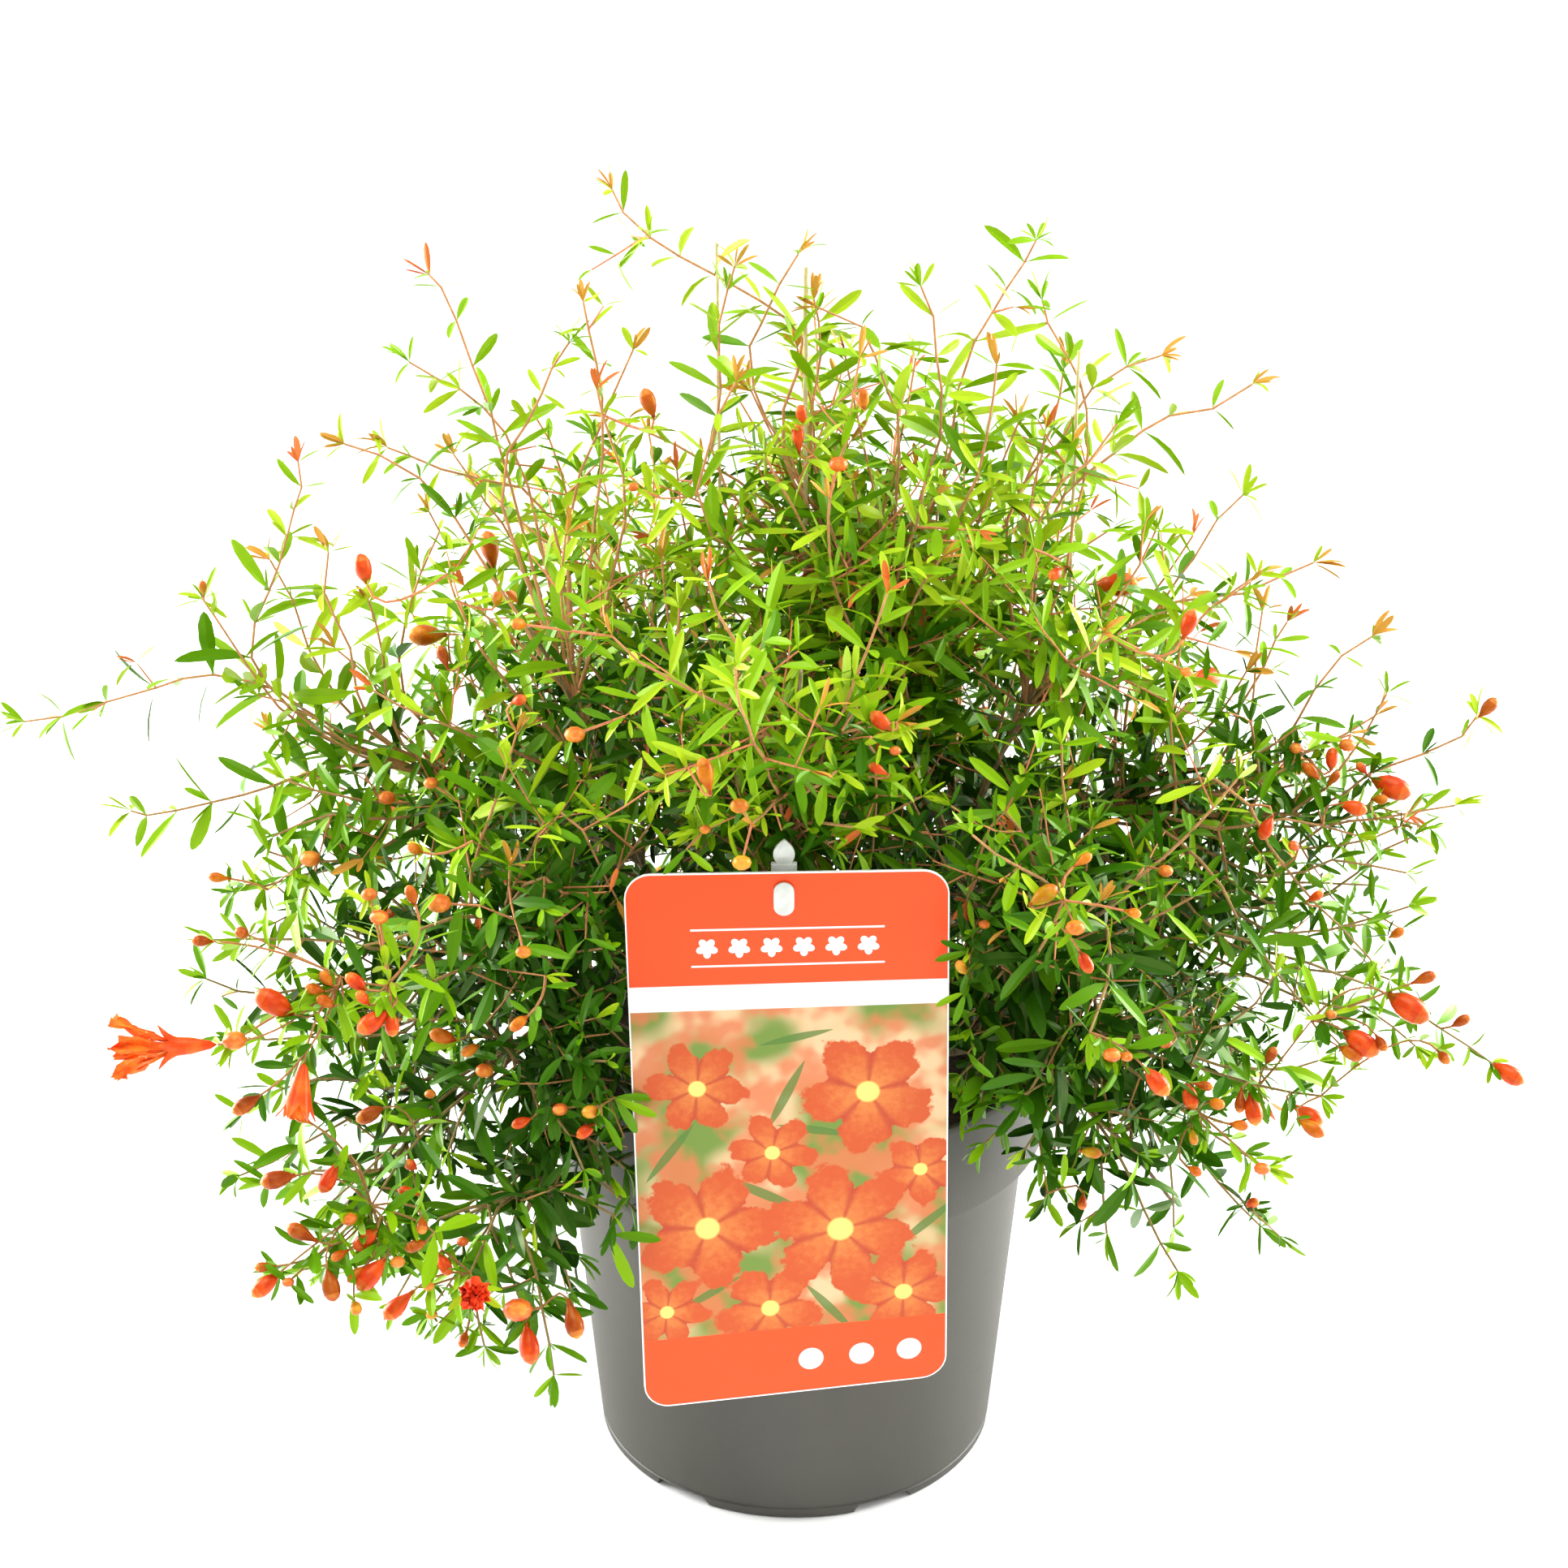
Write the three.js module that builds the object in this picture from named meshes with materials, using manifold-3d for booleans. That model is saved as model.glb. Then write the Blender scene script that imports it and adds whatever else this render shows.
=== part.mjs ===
// A dwarf pomegranate shrub in its nursery pot, with its hanging label card.
//
// Millimetres, +Z up. The origin is the centre of the pot's underside, and the label hangs on the -Y side.
// Azimuths are in degrees from +X towards +Y, so -90 is the front, 180 the left and 90 the back.

import * as THREE from 'three';
import { mergeVertices } from 'three/addons/utils/BufferGeometryUtils.js';
import Module from 'manifold-3d';

const wasm = await Module();
wasm.setup();

// ---------------------------------------------------------------- driving dimensions

const GAP = 0.3; // air between two pieces that touch

const POT = {
  sides: 36,
  height: 167,
  rimRadius: 95,
  rimBand: 38.5, // how far the thicker band reaches down from the top
  rimWall: 2.4,
  lipRound: 1.2,
  wallTopRadius: 87.4,
  footRadius: 76.5,
  footChamfer: 1.2,
  wall: 1.9,
  bandStep: 0.6, // how much narrower the band is at its lower edge than at the lip
  floorUnderside: 3.6, // the floor is raised between the foot ring and the middle pad
  floorTop: 5.6,
  floorSlope: 1.5, // how far out the sides of the foot ring and the middle pad slope
  footRingInner: 68,
  middlePad: 24,
  drainHoles: 8,
  drainHoleRadius: 5,
  drainHoleSides: 10,
  drainHoleOut: 47,
  drainHoleTurn: 30, // azimuth of the first hole past the first notch
  notches: 6,
  notchWidth: 24,
  notchReach: 24,
  notchHeight: 3.8,
  notchStart: -64, // azimuth of the first notch, a little right of the front
};

const SOIL = {
  belowRim: 11.5,
  edgeDrop: 2.5, // the surface falls a little towards the wall
  flatRadius: 40,
};

const CARD = {
  width: 107.5,
  height: 203,
  thickness: 0.8,
  cornerRadius: 9,
  cornerRows: [0, 0.35, 0.7, 0.92], // shares of the corner's height at which it has rows
  faceY: -96, // middle plane of the card where it rests against the rim
  centreX: -1.3,
  centreZ: 171.6,
  roll: 1.1, // degrees, clockwise from the front
  twist: 9, // how far the lower corners turn forwards on the left and backwards on the right
  holeWidth: 5.4,
  holeHeight: 9.6,
  holeBelowTop: 9.3, // where the hole's centre lies below the card's top edge
  rows: 8,
  columns: 4, // enough that the flat faces follow the twist
};

const STAKE = {
  footZ: 100,
  footY: -79.5,
  pointHeight: 6, // how far its point reaches below the foot
  stemWidth: 6,
  stemThickness: 1.4,
  neckWidth: 8.6,
  neckHeight: 3.4,
  neckThickness: 2.4,
  overlap: 1, // how far the neck and the spade reach down into what carries them
  spadeWidth: 7.6,
  spadeHeight: 9.3,
  spadeLowHandle: [0.7, 0.35], // the spade's outline, as shares of its width and height
  spadeHighHandle: [0.42, 0.75],
  topZ: 283.5,
  topY: -91.6,
  x: -4,
  buttonWidth: 7,
  buttonHeight: 12,
  buttonThickness: 1.1,
  postWidth: 4,
};

const TRUNK = {
  flareRadius: 11,
  waistRadius: 7.6,
  forkRadius: 5.6,
  flareHeight: 8,
  height: 24,
  leanX: 2.5, // how far the fork stands off the foot
  leanY: -1.5,
  threeRibs: 0.08, // how far two sets of ribs stand out, as shares of the radius
  fiveRibs: 0.05,
  sides: 12,
  steps: 6,
};

const BOUGH = {
  baseRadius: 2.9,
  tipRadius: 1.3,
  sides: 7,
  steps: 5,
  axisOut: 2, // where a bough's own axis starts, off the trunk's axis
  barkOut: 7.4, // where it comes out of the trunk's bark
  kneeOut: 0.5, // the bend, as shares of the bough's reach outwards and upwards
  kneeUp: 0.3,
  leaderSunk: 2, // how deep the leader starts in the trunk's fork
};

// Foliage: half-sizes are [away from the pot's axis, sideways, upwards].
const CROWN = {
  lumpiness: 0.12,
  detail: 2, // how finely a mass's ball is divided
  skirtDetail: 1,
  sideSpread: 0.07, // the crown reaches further to the left and right than to the front and back
  heartZ: 236,
  rimClearance: 8, // how far the crown's underside stays above the pot's rim
};

const MASSES = [
  { name: 'foliage_core', azimuth: 0, out: 0, z: 248, half: [88, 88, 54], weight: 44 },
  { name: 'foliage_top', azimuth: 20, out: 12, z: 368, half: [82, 76, 60] },
  ...ring('foliage_upper', spaced(-90, 5), { out: 86, z: 332, half: [68, 68, 54] }),
  { name: 'foliage_middle_front', azimuth: -90, out: 78, z: 288, half: [64, 62, 42], keepOff: ['stakeTop'] },
  ...ring('foliage_middle', [-45, -2, 42, 88, 134, 178, 222], { out: 126, z: 260, half: [80, 68, 56] }),
  { name: 'foliage_lower_front', azimuth: -90, out: 48, z: 220, half: [36, 60, 42], keepOff: ['stakeBack'] },
  ...ring('foliage_lower', [-36, 8, 53, 98, 142, 184, 230], { out: 132, z: 198, half: [80, 62, 42] }),
];

const SKIRTS = [
  { name: 'foliage_skirt_front_left', azimuth: -128, out: 150, z: 134, half: [44, 50, 43] },
  { name: 'foliage_skirt_left_front', azimuth: -156, out: 163, z: 136, half: [44, 40, 44] },
  { name: 'foliage_skirt_left', azimuth: 174, out: 156, z: 147, half: [42, 44, 34] },
  { name: 'foliage_skirt_back_left', azimuth: 122, out: 150, z: 138, half: [42, 46, 42] },
  { name: 'foliage_skirt_back_right', azimuth: 60, out: 150, z: 140, half: [42, 46, 40] },
  { name: 'foliage_skirt_right', azimuth: 9, out: 160, z: 146, half: [44, 46, 36] },
  { name: 'foliage_skirt_front_right', azimuth: -33, out: 148, z: 146, half: [42, 44, 36] },
];

// Long young shoots that stand out of the crown. out and z place the tip. One leans across the crown's top:
// its root lies that much further to the right, and it bows up more.
const SHOOTS = [
  { name: 'foliage_shoot_top_left', azimuth: 180, out: 61, z: 478, girth: 13, rootShift: 45, arch: 50 },
  { name: 'foliage_shoot_top_right', azimuth: 0, out: 82, z: 462, girth: 14 },
  { name: 'foliage_shoot_shoulder_left', azimuth: 180, out: 123, z: 449, girth: 13 },
  { name: 'foliage_shoot_high_left', azimuth: 187, out: 170, z: 389, girth: 14 },
  { name: 'foliage_shoot_far_left', azimuth: 184, out: 275, z: 296, girth: 11 },
  { name: 'foliage_shoot_side_left', azimuth: 190, out: 234, z: 271, girth: 14 },
  { name: 'foliage_shoot_flower_left', azimuth: 194, out: 252, z: 189, girth: 11 },
  { name: 'foliage_shoot_shoulder_right', azimuth: 10, out: 166, z: 400, girth: 14 },
  { name: 'foliage_shoot_high_right', azimuth: -10, out: 178, z: 360, girth: 15 },
  { name: 'foliage_shoot_far_right', azimuth: 2, out: 253, z: 293, girth: 13 },
  { name: 'foliage_shoot_side_right', azimuth: 352, out: 236, z: 265, girth: 15 },
  { name: 'foliage_shoot_low_right', azimuth: 6, out: 250, z: 182, girth: 14 },
  { name: 'foliage_shoot_tip_right', azimuth: -7, out: 271, z: 161, girth: 12 },
  { name: 'foliage_shoot_back_left', azimuth: 126, out: 226, z: 322, girth: 14 },
  { name: 'foliage_shoot_back', azimuth: 90, out: 226, z: 268, girth: 15 },
  { name: 'foliage_shoot_back_right', azimuth: 54, out: 222, z: 346, girth: 14 },
];

const SHOOT = {
  rootAlong: 0.4, // where the shoot starts, on the way from the crown's heart to its tip
  arch: 10, // how far it bows upwards on the way
  thinnest: 0.22, // its least girth, as a share of the full one
  swell: 0.88, // how much of a half wave its girth follows towards the tip
  sides: 8,
  steps: 5,
};

const BOUGHS = [
  ...ring('bough_low', [-50, 40, 128, 212], { rootZ: 5, out: 96, z: 196 }),
  ...ring('bough_high', [-96, 4, 172], { rootZ: 13, out: 62, z: 236 }),
];

const LEADER = { name: 'bough_leader', leanX: 5, leanY: 3, top: 222 };

const SURFACES = {
  pot: { color: 0x6a6a68, roughness: 0.6 },
  soil: { color: 0x3a2a1e, roughness: 0.95 },
  card: { color: 0xf4562c, roughness: 0.4 },
  stake: { color: 0xe6e9ea, roughness: 0.35 },
  bark: { color: 0x8a7558, roughness: 0.85 },
  foliage: { color: 0x3f7a22, roughness: 0.7 },
  youngFoliage: { color: 0x7fae35, roughness: 0.7 },
};

// ---------------------------------------------------------------- small helpers

const radians = THREE.MathUtils.degToRad;
const UP = new THREE.Vector3(0, 0, 1);

// Equal steps of azimuth, all the way round.
function spaced(start, count) {
  return Array.from({ length: count }, (_, i) => start + (360 / count) * i);
}

// One ring of like masses or boughs, numbered from 1.
function ring(name, azimuths, sizes) {
  return azimuths.map((azimuth, i) => ({ name: `${name}_${i + 1}`, azimuth, ...sizes }));
}

function polar(azimuth, out, z) {
  return new THREE.Vector3(out * Math.cos(radians(azimuth)), out * Math.sin(radians(azimuth)), z);
}

// The same geometry with shared corners and without faces that have shrunk to nothing.
function weld(geometry) {
  const bare = geometry.index ? geometry.toNonIndexed() : geometry.clone();
  bare.deleteAttribute('normal');
  bare.deleteAttribute('uv');
  const merged = mergeVertices(bare, 1e-3);
  const corners = merged.index.array;
  const kept = [];
  for (let i = 0; i < corners.length; i += 3) {
    const [a, b, c] = corners.slice(i, i + 3);
    if (a !== b && b !== c && c !== a) {
      kept.push(a, b, c);
    }
  }
  merged.setIndex(kept);
  return merged;
}

function solidOf(geometry) {
  const welded = weld(geometry);
  return new wasm.Manifold(new wasm.Mesh({
    numProp: 3,
    vertProperties: new Float32Array(welded.attributes.position.array),
    triVerts: new Uint32Array(welded.index.array),
  }));
}

function geometryOf(solid) {
  const mesh = solid.getMesh();
  const geometry = new THREE.BufferGeometry();
  geometry.setAttribute('position', new THREE.BufferAttribute(new Float32Array(mesh.vertProperties), 3));
  geometry.setIndex(Array.from(mesh.triVerts));
  return geometry;
}

// The one piece of a cut solid that comes nearest to a point.
function pieceNear(solid, point) {
  let best = null;
  let bestDistance = Infinity;
  for (const piece of solid.decompose()) {
    const corners = piece.getMesh().vertProperties;
    for (let i = 0; i < corners.length; i += 3) {
      const distance = point.distanceTo(new THREE.Vector3(corners[i], corners[i + 1], corners[i + 2]));
      if (distance < bestDistance) {
        best = piece;
        bestDistance = distance;
      }
    }
  }
  return best;
}

function part(name, geometry, surface) {
  const mesh = new THREE.Mesh(geometry, new THREE.MeshStandardMaterial({ ...surface, metalness: 0 }));
  mesh.name = name;
  return mesh;
}

// A profile of [radius, height] pairs turned about the Z axis.
function turned(profile, sides) {
  const points = profile.map(([radius, height]) => new THREE.Vector2(radius, height));
  return new THREE.LatheGeometry(points, sides).rotateX(Math.PI / 2);
}

// A round limb along a curve, with its own radius at each step.
function limb(curve, radiusAt, sides, steps) {
  const geometry = new THREE.CylinderGeometry(1, 1, 1, sides, steps);
  const frames = curve.computeFrenetFrames(steps, false);
  const position = geometry.attributes.position;
  for (let i = 0; i < position.count; i++) {
    const step = Math.round((position.getY(i) + 0.5) * steps);
    const along = step / steps;
    const place = curve.getPointAt(along);
    place.addScaledVector(frames.binormals[step], position.getX(i) * radiusAt(along));
    place.addScaledVector(frames.normals[step], position.getZ(i) * radiusAt(along));
    position.setXYZ(i, place.x, place.y, place.z);
  }
  return geometry;
}

// ---------------------------------------------------------------- pot and soil

function potWallRadius(z) {
  return THREE.MathUtils.mapLinear(z, 0, POT.height - POT.rimBand, POT.footRadius, POT.wallTopRadius);
}

function pot() {
  const bandZ = POT.height - POT.rimBand;
  const inner = POT.rimRadius - POT.rimWall;
  const profile = [
    [0, 0],
    [POT.middlePad, 0],
    [POT.middlePad + POT.floorSlope, POT.floorUnderside],
    [POT.footRingInner - POT.floorSlope, POT.floorUnderside],
    [POT.footRingInner, 0],
    [POT.footRadius - POT.footChamfer, 0],
    [potWallRadius(POT.footChamfer), POT.footChamfer],
    [potWallRadius(bandZ), bandZ],
    [POT.rimRadius - POT.bandStep, bandZ],
    [POT.rimRadius, POT.height - POT.lipRound],
    [POT.rimRadius - POT.lipRound / 2, POT.height],
    [inner + POT.lipRound / 2, POT.height],
    [inner, POT.height - POT.lipRound],
    [inner, bandZ + POT.rimWall],
    [potWallRadius(bandZ) - POT.wall, bandZ + POT.rimWall],
    [potWallRadius(POT.floorTop) - POT.wall, POT.floorTop],
    [0, POT.floorTop],
  ];
  let solid = solidOf(turned(profile, POT.sides));
  for (const azimuth of spaced(POT.notchStart, POT.notches)) {
    const notch = new THREE.BoxGeometry(POT.notchReach, POT.notchWidth, 2 * POT.notchHeight);
    notch.translate(POT.footRadius, 0, 0).rotateZ(radians(azimuth));
    solid = solid.subtract(solidOf(notch));
  }
  const through = 4 * POT.floorTop;
  for (const azimuth of spaced(POT.notchStart + POT.drainHoleTurn, POT.drainHoles)) {
    const radius = POT.drainHoleRadius;
    const hole = new THREE.CylinderGeometry(radius, radius, through, POT.drainHoleSides);
    hole.rotateX(Math.PI / 2).translate(POT.drainHoleOut, 0, 0).rotateZ(radians(azimuth));
    solid = solid.subtract(solidOf(hole));
  }
  return part('pot', geometryOf(solid), SURFACES.pot);
}

const SOIL_TOP = POT.height - SOIL.belowRim;

function soil() {
  const bandZ = POT.height - POT.rimBand;
  const bottom = POT.floorTop + GAP;
  const step = bandZ + POT.rimWall + GAP;
  const below = POT.wall + GAP;
  const profile = [
    [0, bottom],
    [potWallRadius(bottom) - below, bottom],
    [potWallRadius(bandZ) - below, step],
    [POT.rimRadius - POT.rimWall - GAP, step],
    [POT.rimRadius - POT.rimWall - GAP, SOIL_TOP - SOIL.edgeDrop],
    [SOIL.flatRadius, SOIL_TOP],
    [0, SOIL_TOP],
  ];
  const slot = stakeStem(2 * GAP);
  const solid = solidOf(turned(profile, POT.sides)).subtract(solidOf(slot));
  return part('soil', geometryOf(solid), SURFACES.soil);
}

// ---------------------------------------------------------------- label card and its stake

// The card is twisted: its lower left corner stands forwards and its lower right corner lies back.
function cardPlace(x, z, depth) {
  const down = 0.5 - z / CARD.height;
  const across = x / (CARD.width / 2);
  const turn = radians(CARD.roll);
  return new THREE.Vector3(
    CARD.centreX + x * Math.cos(turn) - z * Math.sin(turn),
    CARD.faceY + CARD.twist * across * down + depth,
    CARD.centreZ + z * Math.cos(turn) + x * Math.sin(turn),
  );
}

// The middle of the card's hanging hole.
function cardHoleCentre() {
  return cardPlace(0, CARD.height / 2 - CARD.holeBelowTop, 0);
}

// Half the card's width at a height, narrower in the rounded corners.
function cardHalfWidth(z) {
  const intoCorner = Math.max(0, Math.abs(z) - (CARD.height / 2 - CARD.cornerRadius));
  return CARD.width / 2 - CARD.cornerRadius + Math.sqrt(CARD.cornerRadius ** 2 - intoCorner ** 2);
}

// Heights of the card's rows: close together in the rounded corners, even in between.
function cardRows() {
  const half = CARD.height / 2;
  const corner = CARD.cornerRows.map((share) => half - CARD.cornerRadius * (1 - share));
  const even = [];
  for (let i = 1; i < CARD.rows; i++) {
    even.push(corner[0] * (2 * (i / CARD.rows) - 1));
  }
  const ends = [...corner, half];
  return [...ends.map((z) => -z).reverse(), ...even, ...ends];
}

function card() {
  const rows = cardRows();
  const steps = rows.length - 1;
  const sheet = new THREE.BoxGeometry(2, CARD.thickness, steps, CARD.columns, 1, steps);
  const position = sheet.attributes.position;
  for (let i = 0; i < position.count; i++) {
    const z = rows[Math.round(position.getZ(i) + steps / 2)];
    const place = cardPlace(position.getX(i) * cardHalfWidth(z), z, position.getY(i));
    position.setXYZ(i, place.x, place.y, place.z);
  }
  const centre = cardHoleCentre();
  const hole = ovalPlate(CARD.holeWidth, CARD.holeHeight, 10 * CARD.thickness);
  hole.translate(STAKE.x, centre.y, centre.z);
  return part('label_card', geometryOf(solidOf(sheet).subtract(solidOf(hole))), SURFACES.card);
}

// A flat upright plate of an outline in X and Z, with the origin in its middle plane.
function plateOf(outline, thickness) {
  const settings = { depth: thickness, bevelEnabled: false, curveSegments: 6 };
  const plate = new THREE.ExtrudeGeometry(outline, settings);
  return plate.translate(0, 0, -thickness / 2).rotateX(Math.PI / 2);
}

// An upright oval plate, centred on the origin, with its flat faces to the front and back.
function ovalPlate(width, height, thickness) {
  const outline = new THREE.Shape();
  const straight = (height - width) / 2;
  outline.absarc(0, straight, width / 2, 0, Math.PI);
  outline.absarc(0, -straight, width / 2, Math.PI, 2 * Math.PI);
  return plateOf(outline, thickness);
}

// Where the stake's middle plane lies at a height: it leans a little forwards.
function stakeY(z) {
  return THREE.MathUtils.mapLinear(z, STAKE.footZ, STAKE.topZ, STAKE.footY, STAKE.topY);
}

// The stake's straight stem, grown by a margin on every side.
function stakeStem(margin) {
  const stemTop = STAKE.topZ - STAKE.spadeHeight - STAKE.neckHeight;
  const outline = new THREE.Shape();
  outline.moveTo(0, STAKE.footZ - STAKE.pointHeight - margin);
  outline.lineTo(STAKE.stemWidth / 2 + margin, STAKE.footZ - margin);
  outline.lineTo(STAKE.stemWidth / 2 + margin, stemTop);
  outline.lineTo(-STAKE.stemWidth / 2 - margin, stemTop);
  outline.lineTo(-STAKE.stemWidth / 2 - margin, STAKE.footZ - margin);
  return leaningPlate(outline, STAKE.stemThickness + 2 * margin);
}

// A plate of an outline, leaned to the stake's slope.
function leaningPlate(outline, thickness) {
  const plate = plateOf(outline, thickness);
  const position = plate.attributes.position;
  for (let i = 0; i < position.count; i++) {
    const z = position.getZ(i);
    position.setXYZ(i, position.getX(i) + STAKE.x, position.getY(i) + stakeY(z), z);
  }
  return plate;
}

function stake() {
  const neckZ = STAKE.topZ - STAKE.spadeHeight - STAKE.neckHeight;
  const spadeZ = STAKE.topZ - STAKE.spadeHeight;
  const neck = new THREE.Shape();
  neck.moveTo(-STAKE.neckWidth / 2, neckZ - STAKE.overlap);
  neck.lineTo(STAKE.neckWidth / 2, neckZ - STAKE.overlap);
  neck.lineTo(STAKE.neckWidth / 2, spadeZ);
  neck.lineTo(-STAKE.neckWidth / 2, spadeZ);
  const spade = new THREE.Shape();
  const spadeFoot = spadeZ - STAKE.overlap;
  const handle = ([out, up]) => [STAKE.spadeWidth * out, spadeZ + STAKE.spadeHeight * up];
  const lowHandle = handle(STAKE.spadeLowHandle);
  const highHandle = handle(STAKE.spadeHighHandle);
  spade.moveTo(-STAKE.spadeWidth / 4, spadeFoot);
  spade.lineTo(STAKE.spadeWidth / 4, spadeFoot);
  const leftOf = ([x, z]) => [-x, z];
  spade.bezierCurveTo(...lowHandle, ...highHandle, 0, STAKE.topZ);
  spade.bezierCurveTo(...leftOf(highHandle), ...leftOf(lowHandle), -STAKE.spadeWidth / 4, spadeFoot);
  const holeCentre = cardHoleCentre();
  const cardFront = CARD.faceY - CARD.thickness / 2;
  const buttonY = cardFront - GAP - STAKE.buttonThickness / 2;
  const button = ovalPlate(STAKE.buttonWidth, STAKE.buttonHeight, STAKE.buttonThickness);
  button.translate(STAKE.x, buttonY, holeCentre.z);
  const postBack = stakeY(holeCentre.z);
  const post = new THREE.BoxGeometry(STAKE.postWidth, postBack - buttonY, STAKE.postWidth);
  post.translate(STAKE.x, (postBack + buttonY) / 2, holeCentre.z);
  const solid = solidOf(stakeStem(0))
    .add(solidOf(leaningPlate(neck, STAKE.neckThickness)))
    .add(solidOf(leaningPlate(spade, STAKE.stemThickness)))
    .add(solidOf(post))
    .add(solidOf(button));
  return part('label_stake', geometryOf(solid), SURFACES.stake);
}

// ---------------------------------------------------------------- foliage masses

const ABOVE_RIM = POT.height + CROWN.rimClearance;
const LABEL_CLEARANCE = 3;
const LABEL_SLOPE = radians(24); // the foliage over the label rises forwards at this angle

// Half-spaces that a mass keeps to: the side of the plane that its normal points to.
const BARRIERS = {
  aboveRim: { normal: UP, offset: ABOVE_RIM },
  belowCrown: { normal: UP.clone().negate(), offset: -(ABOVE_RIM - GAP) },
  stakeBack: { normal: new THREE.Vector3(0, 1, 0), offset: stakeY(ABOVE_RIM) + LABEL_CLEARANCE },
  stakeTop: {
    normal: new THREE.Vector3(0, Math.sin(LABEL_SLOPE), Math.cos(LABEL_SLOPE)),
    offset: Math.sin(LABEL_SLOPE) * STAKE.topY + Math.cos(LABEL_SLOPE) * (STAKE.topZ + LABEL_CLEARANCE),
  },
  cardRight: { normal: new THREE.Vector3(1, 0, 0), offset: CARD.width / 2 + CARD.centreX + LABEL_CLEARANCE },
  cardLeft: { normal: new THREE.Vector3(-1, 0, 0), offset: CARD.width / 2 - CARD.centreX + LABEL_CLEARANCE },
};

// A smooth uneven factor for a direction, different for each mass.
function lumps(direction, seed) {
  const waves = [[2.1, 1.3, 1.7], [3.4, 2.6, 1.1], [1.2, 4.1, 2.9]];
  let sum = 0;
  waves.forEach(([x, y, z], k) => {
    const phase = 2 * (direction.x * x + direction.y * y + direction.z * z);
    sum += Math.sin(phase + seed * (1.7 + k)) / (k + 1.5);
  });
  return 1 + CROWN.lumpiness * sum;
}

function prepare(mass, seed, group) {
  const stretch = 1 + CROWN.sideSpread * Math.cos(2 * radians(mass.azimuth));
  const centre = polar(mass.azimuth, mass.out * stretch, mass.z);
  const weight = mass.weight ?? (mass.half[0] + mass.half[1] + mass.half[2]) / 3;
  const barriers = (mass.keepOff ?? []).map((name) => BARRIERS[name]);
  barriers.push(group === 'skirt' ? BARRIERS.belowCrown : BARRIERS.aboveRim);
  const besideCard = centre.y < -CARD.width / 2 && centre.z < STAKE.topZ && !mass.keepOff;
  if (besideCard) {
    barriers.push(centre.x > 0 ? BARRIERS.cardRight : BARRIERS.cardLeft);
  }
  if (group === 'skirt') {
    barriers.push({ normal: polar(mass.azimuth, 1, 0), offset: POT.rimRadius + 2 * GAP });
  }
  return { ...mass, centre, weight, seed, group, barriers };
}

const FOLIAGE = [
  ...MASSES.map((mass, i) => prepare(mass, i + 1, 'crown')),
  ...SKIRTS.map((mass, i) => prepare(mass, i + 31, 'skirt')),
];

// The planes that bound a mass: one against each neighbour of its group, and its barriers.
function boundsOf(mass, grow) {
  const planes = mass.barriers.map(({ normal, offset }) => ({
    normal: normal.clone().negate(),
    distance: normal.dot(mass.centre) - offset + grow,
  }));
  for (const other of FOLIAGE) {
    if (other === mass || other.group !== mass.group) {
      continue;
    }
    const between = other.centre.clone().sub(mass.centre);
    const apart = between.length();
    const share = (apart ** 2 + mass.weight ** 2 - other.weight ** 2) / (2 * apart);
    planes.push({ normal: between.divideScalar(apart), distance: share - GAP / 2 + grow });
  }
  return planes;
}

// An uneven ball, pressed flat where it meets its neighbours. grow makes it that much larger all round.
function massGeometry(mass, grow) {
  const detail = mass.group === 'skirt' ? CROWN.skirtDetail : CROWN.detail;
  const geometry = new THREE.IcosahedronGeometry(1, detail);
  const position = geometry.attributes.position;
  const outwards = mass.out > 0 ? polar(mass.azimuth, 1, 0) : new THREE.Vector3(1, 0, 0);
  const sideways = new THREE.Vector3().crossVectors(UP, outwards);
  const planes = boundsOf(mass, grow);
  for (let i = 0; i < position.count; i++) {
    const direction = new THREE.Vector3().fromBufferAttribute(position, i).normalize();
    const scaled = [outwards, sideways, UP].map((axis, k) => direction.dot(axis) / mass.half[k]);
    let reach = lumps(direction, mass.seed) / Math.hypot(...scaled) + grow;
    for (const { normal, distance } of planes) {
      const towards = normal.dot(direction);
      if (towards > 0) {
        reach = Math.min(reach, distance / towards);
      }
    }
    const place = mass.centre.clone().addScaledVector(direction, reach);
    position.setXYZ(i, place.x, place.y, place.z);
  }
  return geometry;
}

// What a limb or a shoot keeps clear of a mass: enough to close the gap between two masses.
const LIMB_CLEARANCE = 1.3 * GAP;

const GROWN = FOLIAGE.map((mass) => solidOf(massGeometry(mass, LIMB_CLEARANCE)));

function foliageMasses() {
  return FOLIAGE.map((mass) => part(mass.name, weld(massGeometry(mass, 0)), SURFACES.foliage));
}

// A young shoot: a slim spindle that starts at the crown's surface and bows up to its tip.
function shoot(spec) {
  const heart = new THREE.Vector3(0, 0, CROWN.heartZ);
  const tip = polar(spec.azimuth, spec.out, spec.z);
  const root = heart.clone().lerp(tip, SHOOT.rootAlong);
  root.x += spec.rootShift ?? 0;
  const middle = root.clone().lerp(tip, 0.5).addScaledVector(UP, spec.arch ?? SHOOT.arch);
  const curve = new THREE.QuadraticBezierCurve3(root, middle, tip);
  const wave = (along) => Math.sin(Math.PI * (1 - SHOOT.swell * (1 - along))) ** 0.8;
  const girthAt = (along) => spec.girth * THREE.MathUtils.lerp(SHOOT.thinnest, 1, wave(along));
  let solid = solidOf(limb(curve, girthAt, SHOOT.sides, SHOOT.steps));
  for (const mass of GROWN) {
    solid = solid.subtract(mass);
  }
  return part(spec.name, geometryOf(pieceNear(solid, tip)), SURFACES.youngFoliage);
}

// ---------------------------------------------------------------- trunk and boughs

const TRUNK_FOOT = SOIL_TOP + GAP;

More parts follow.
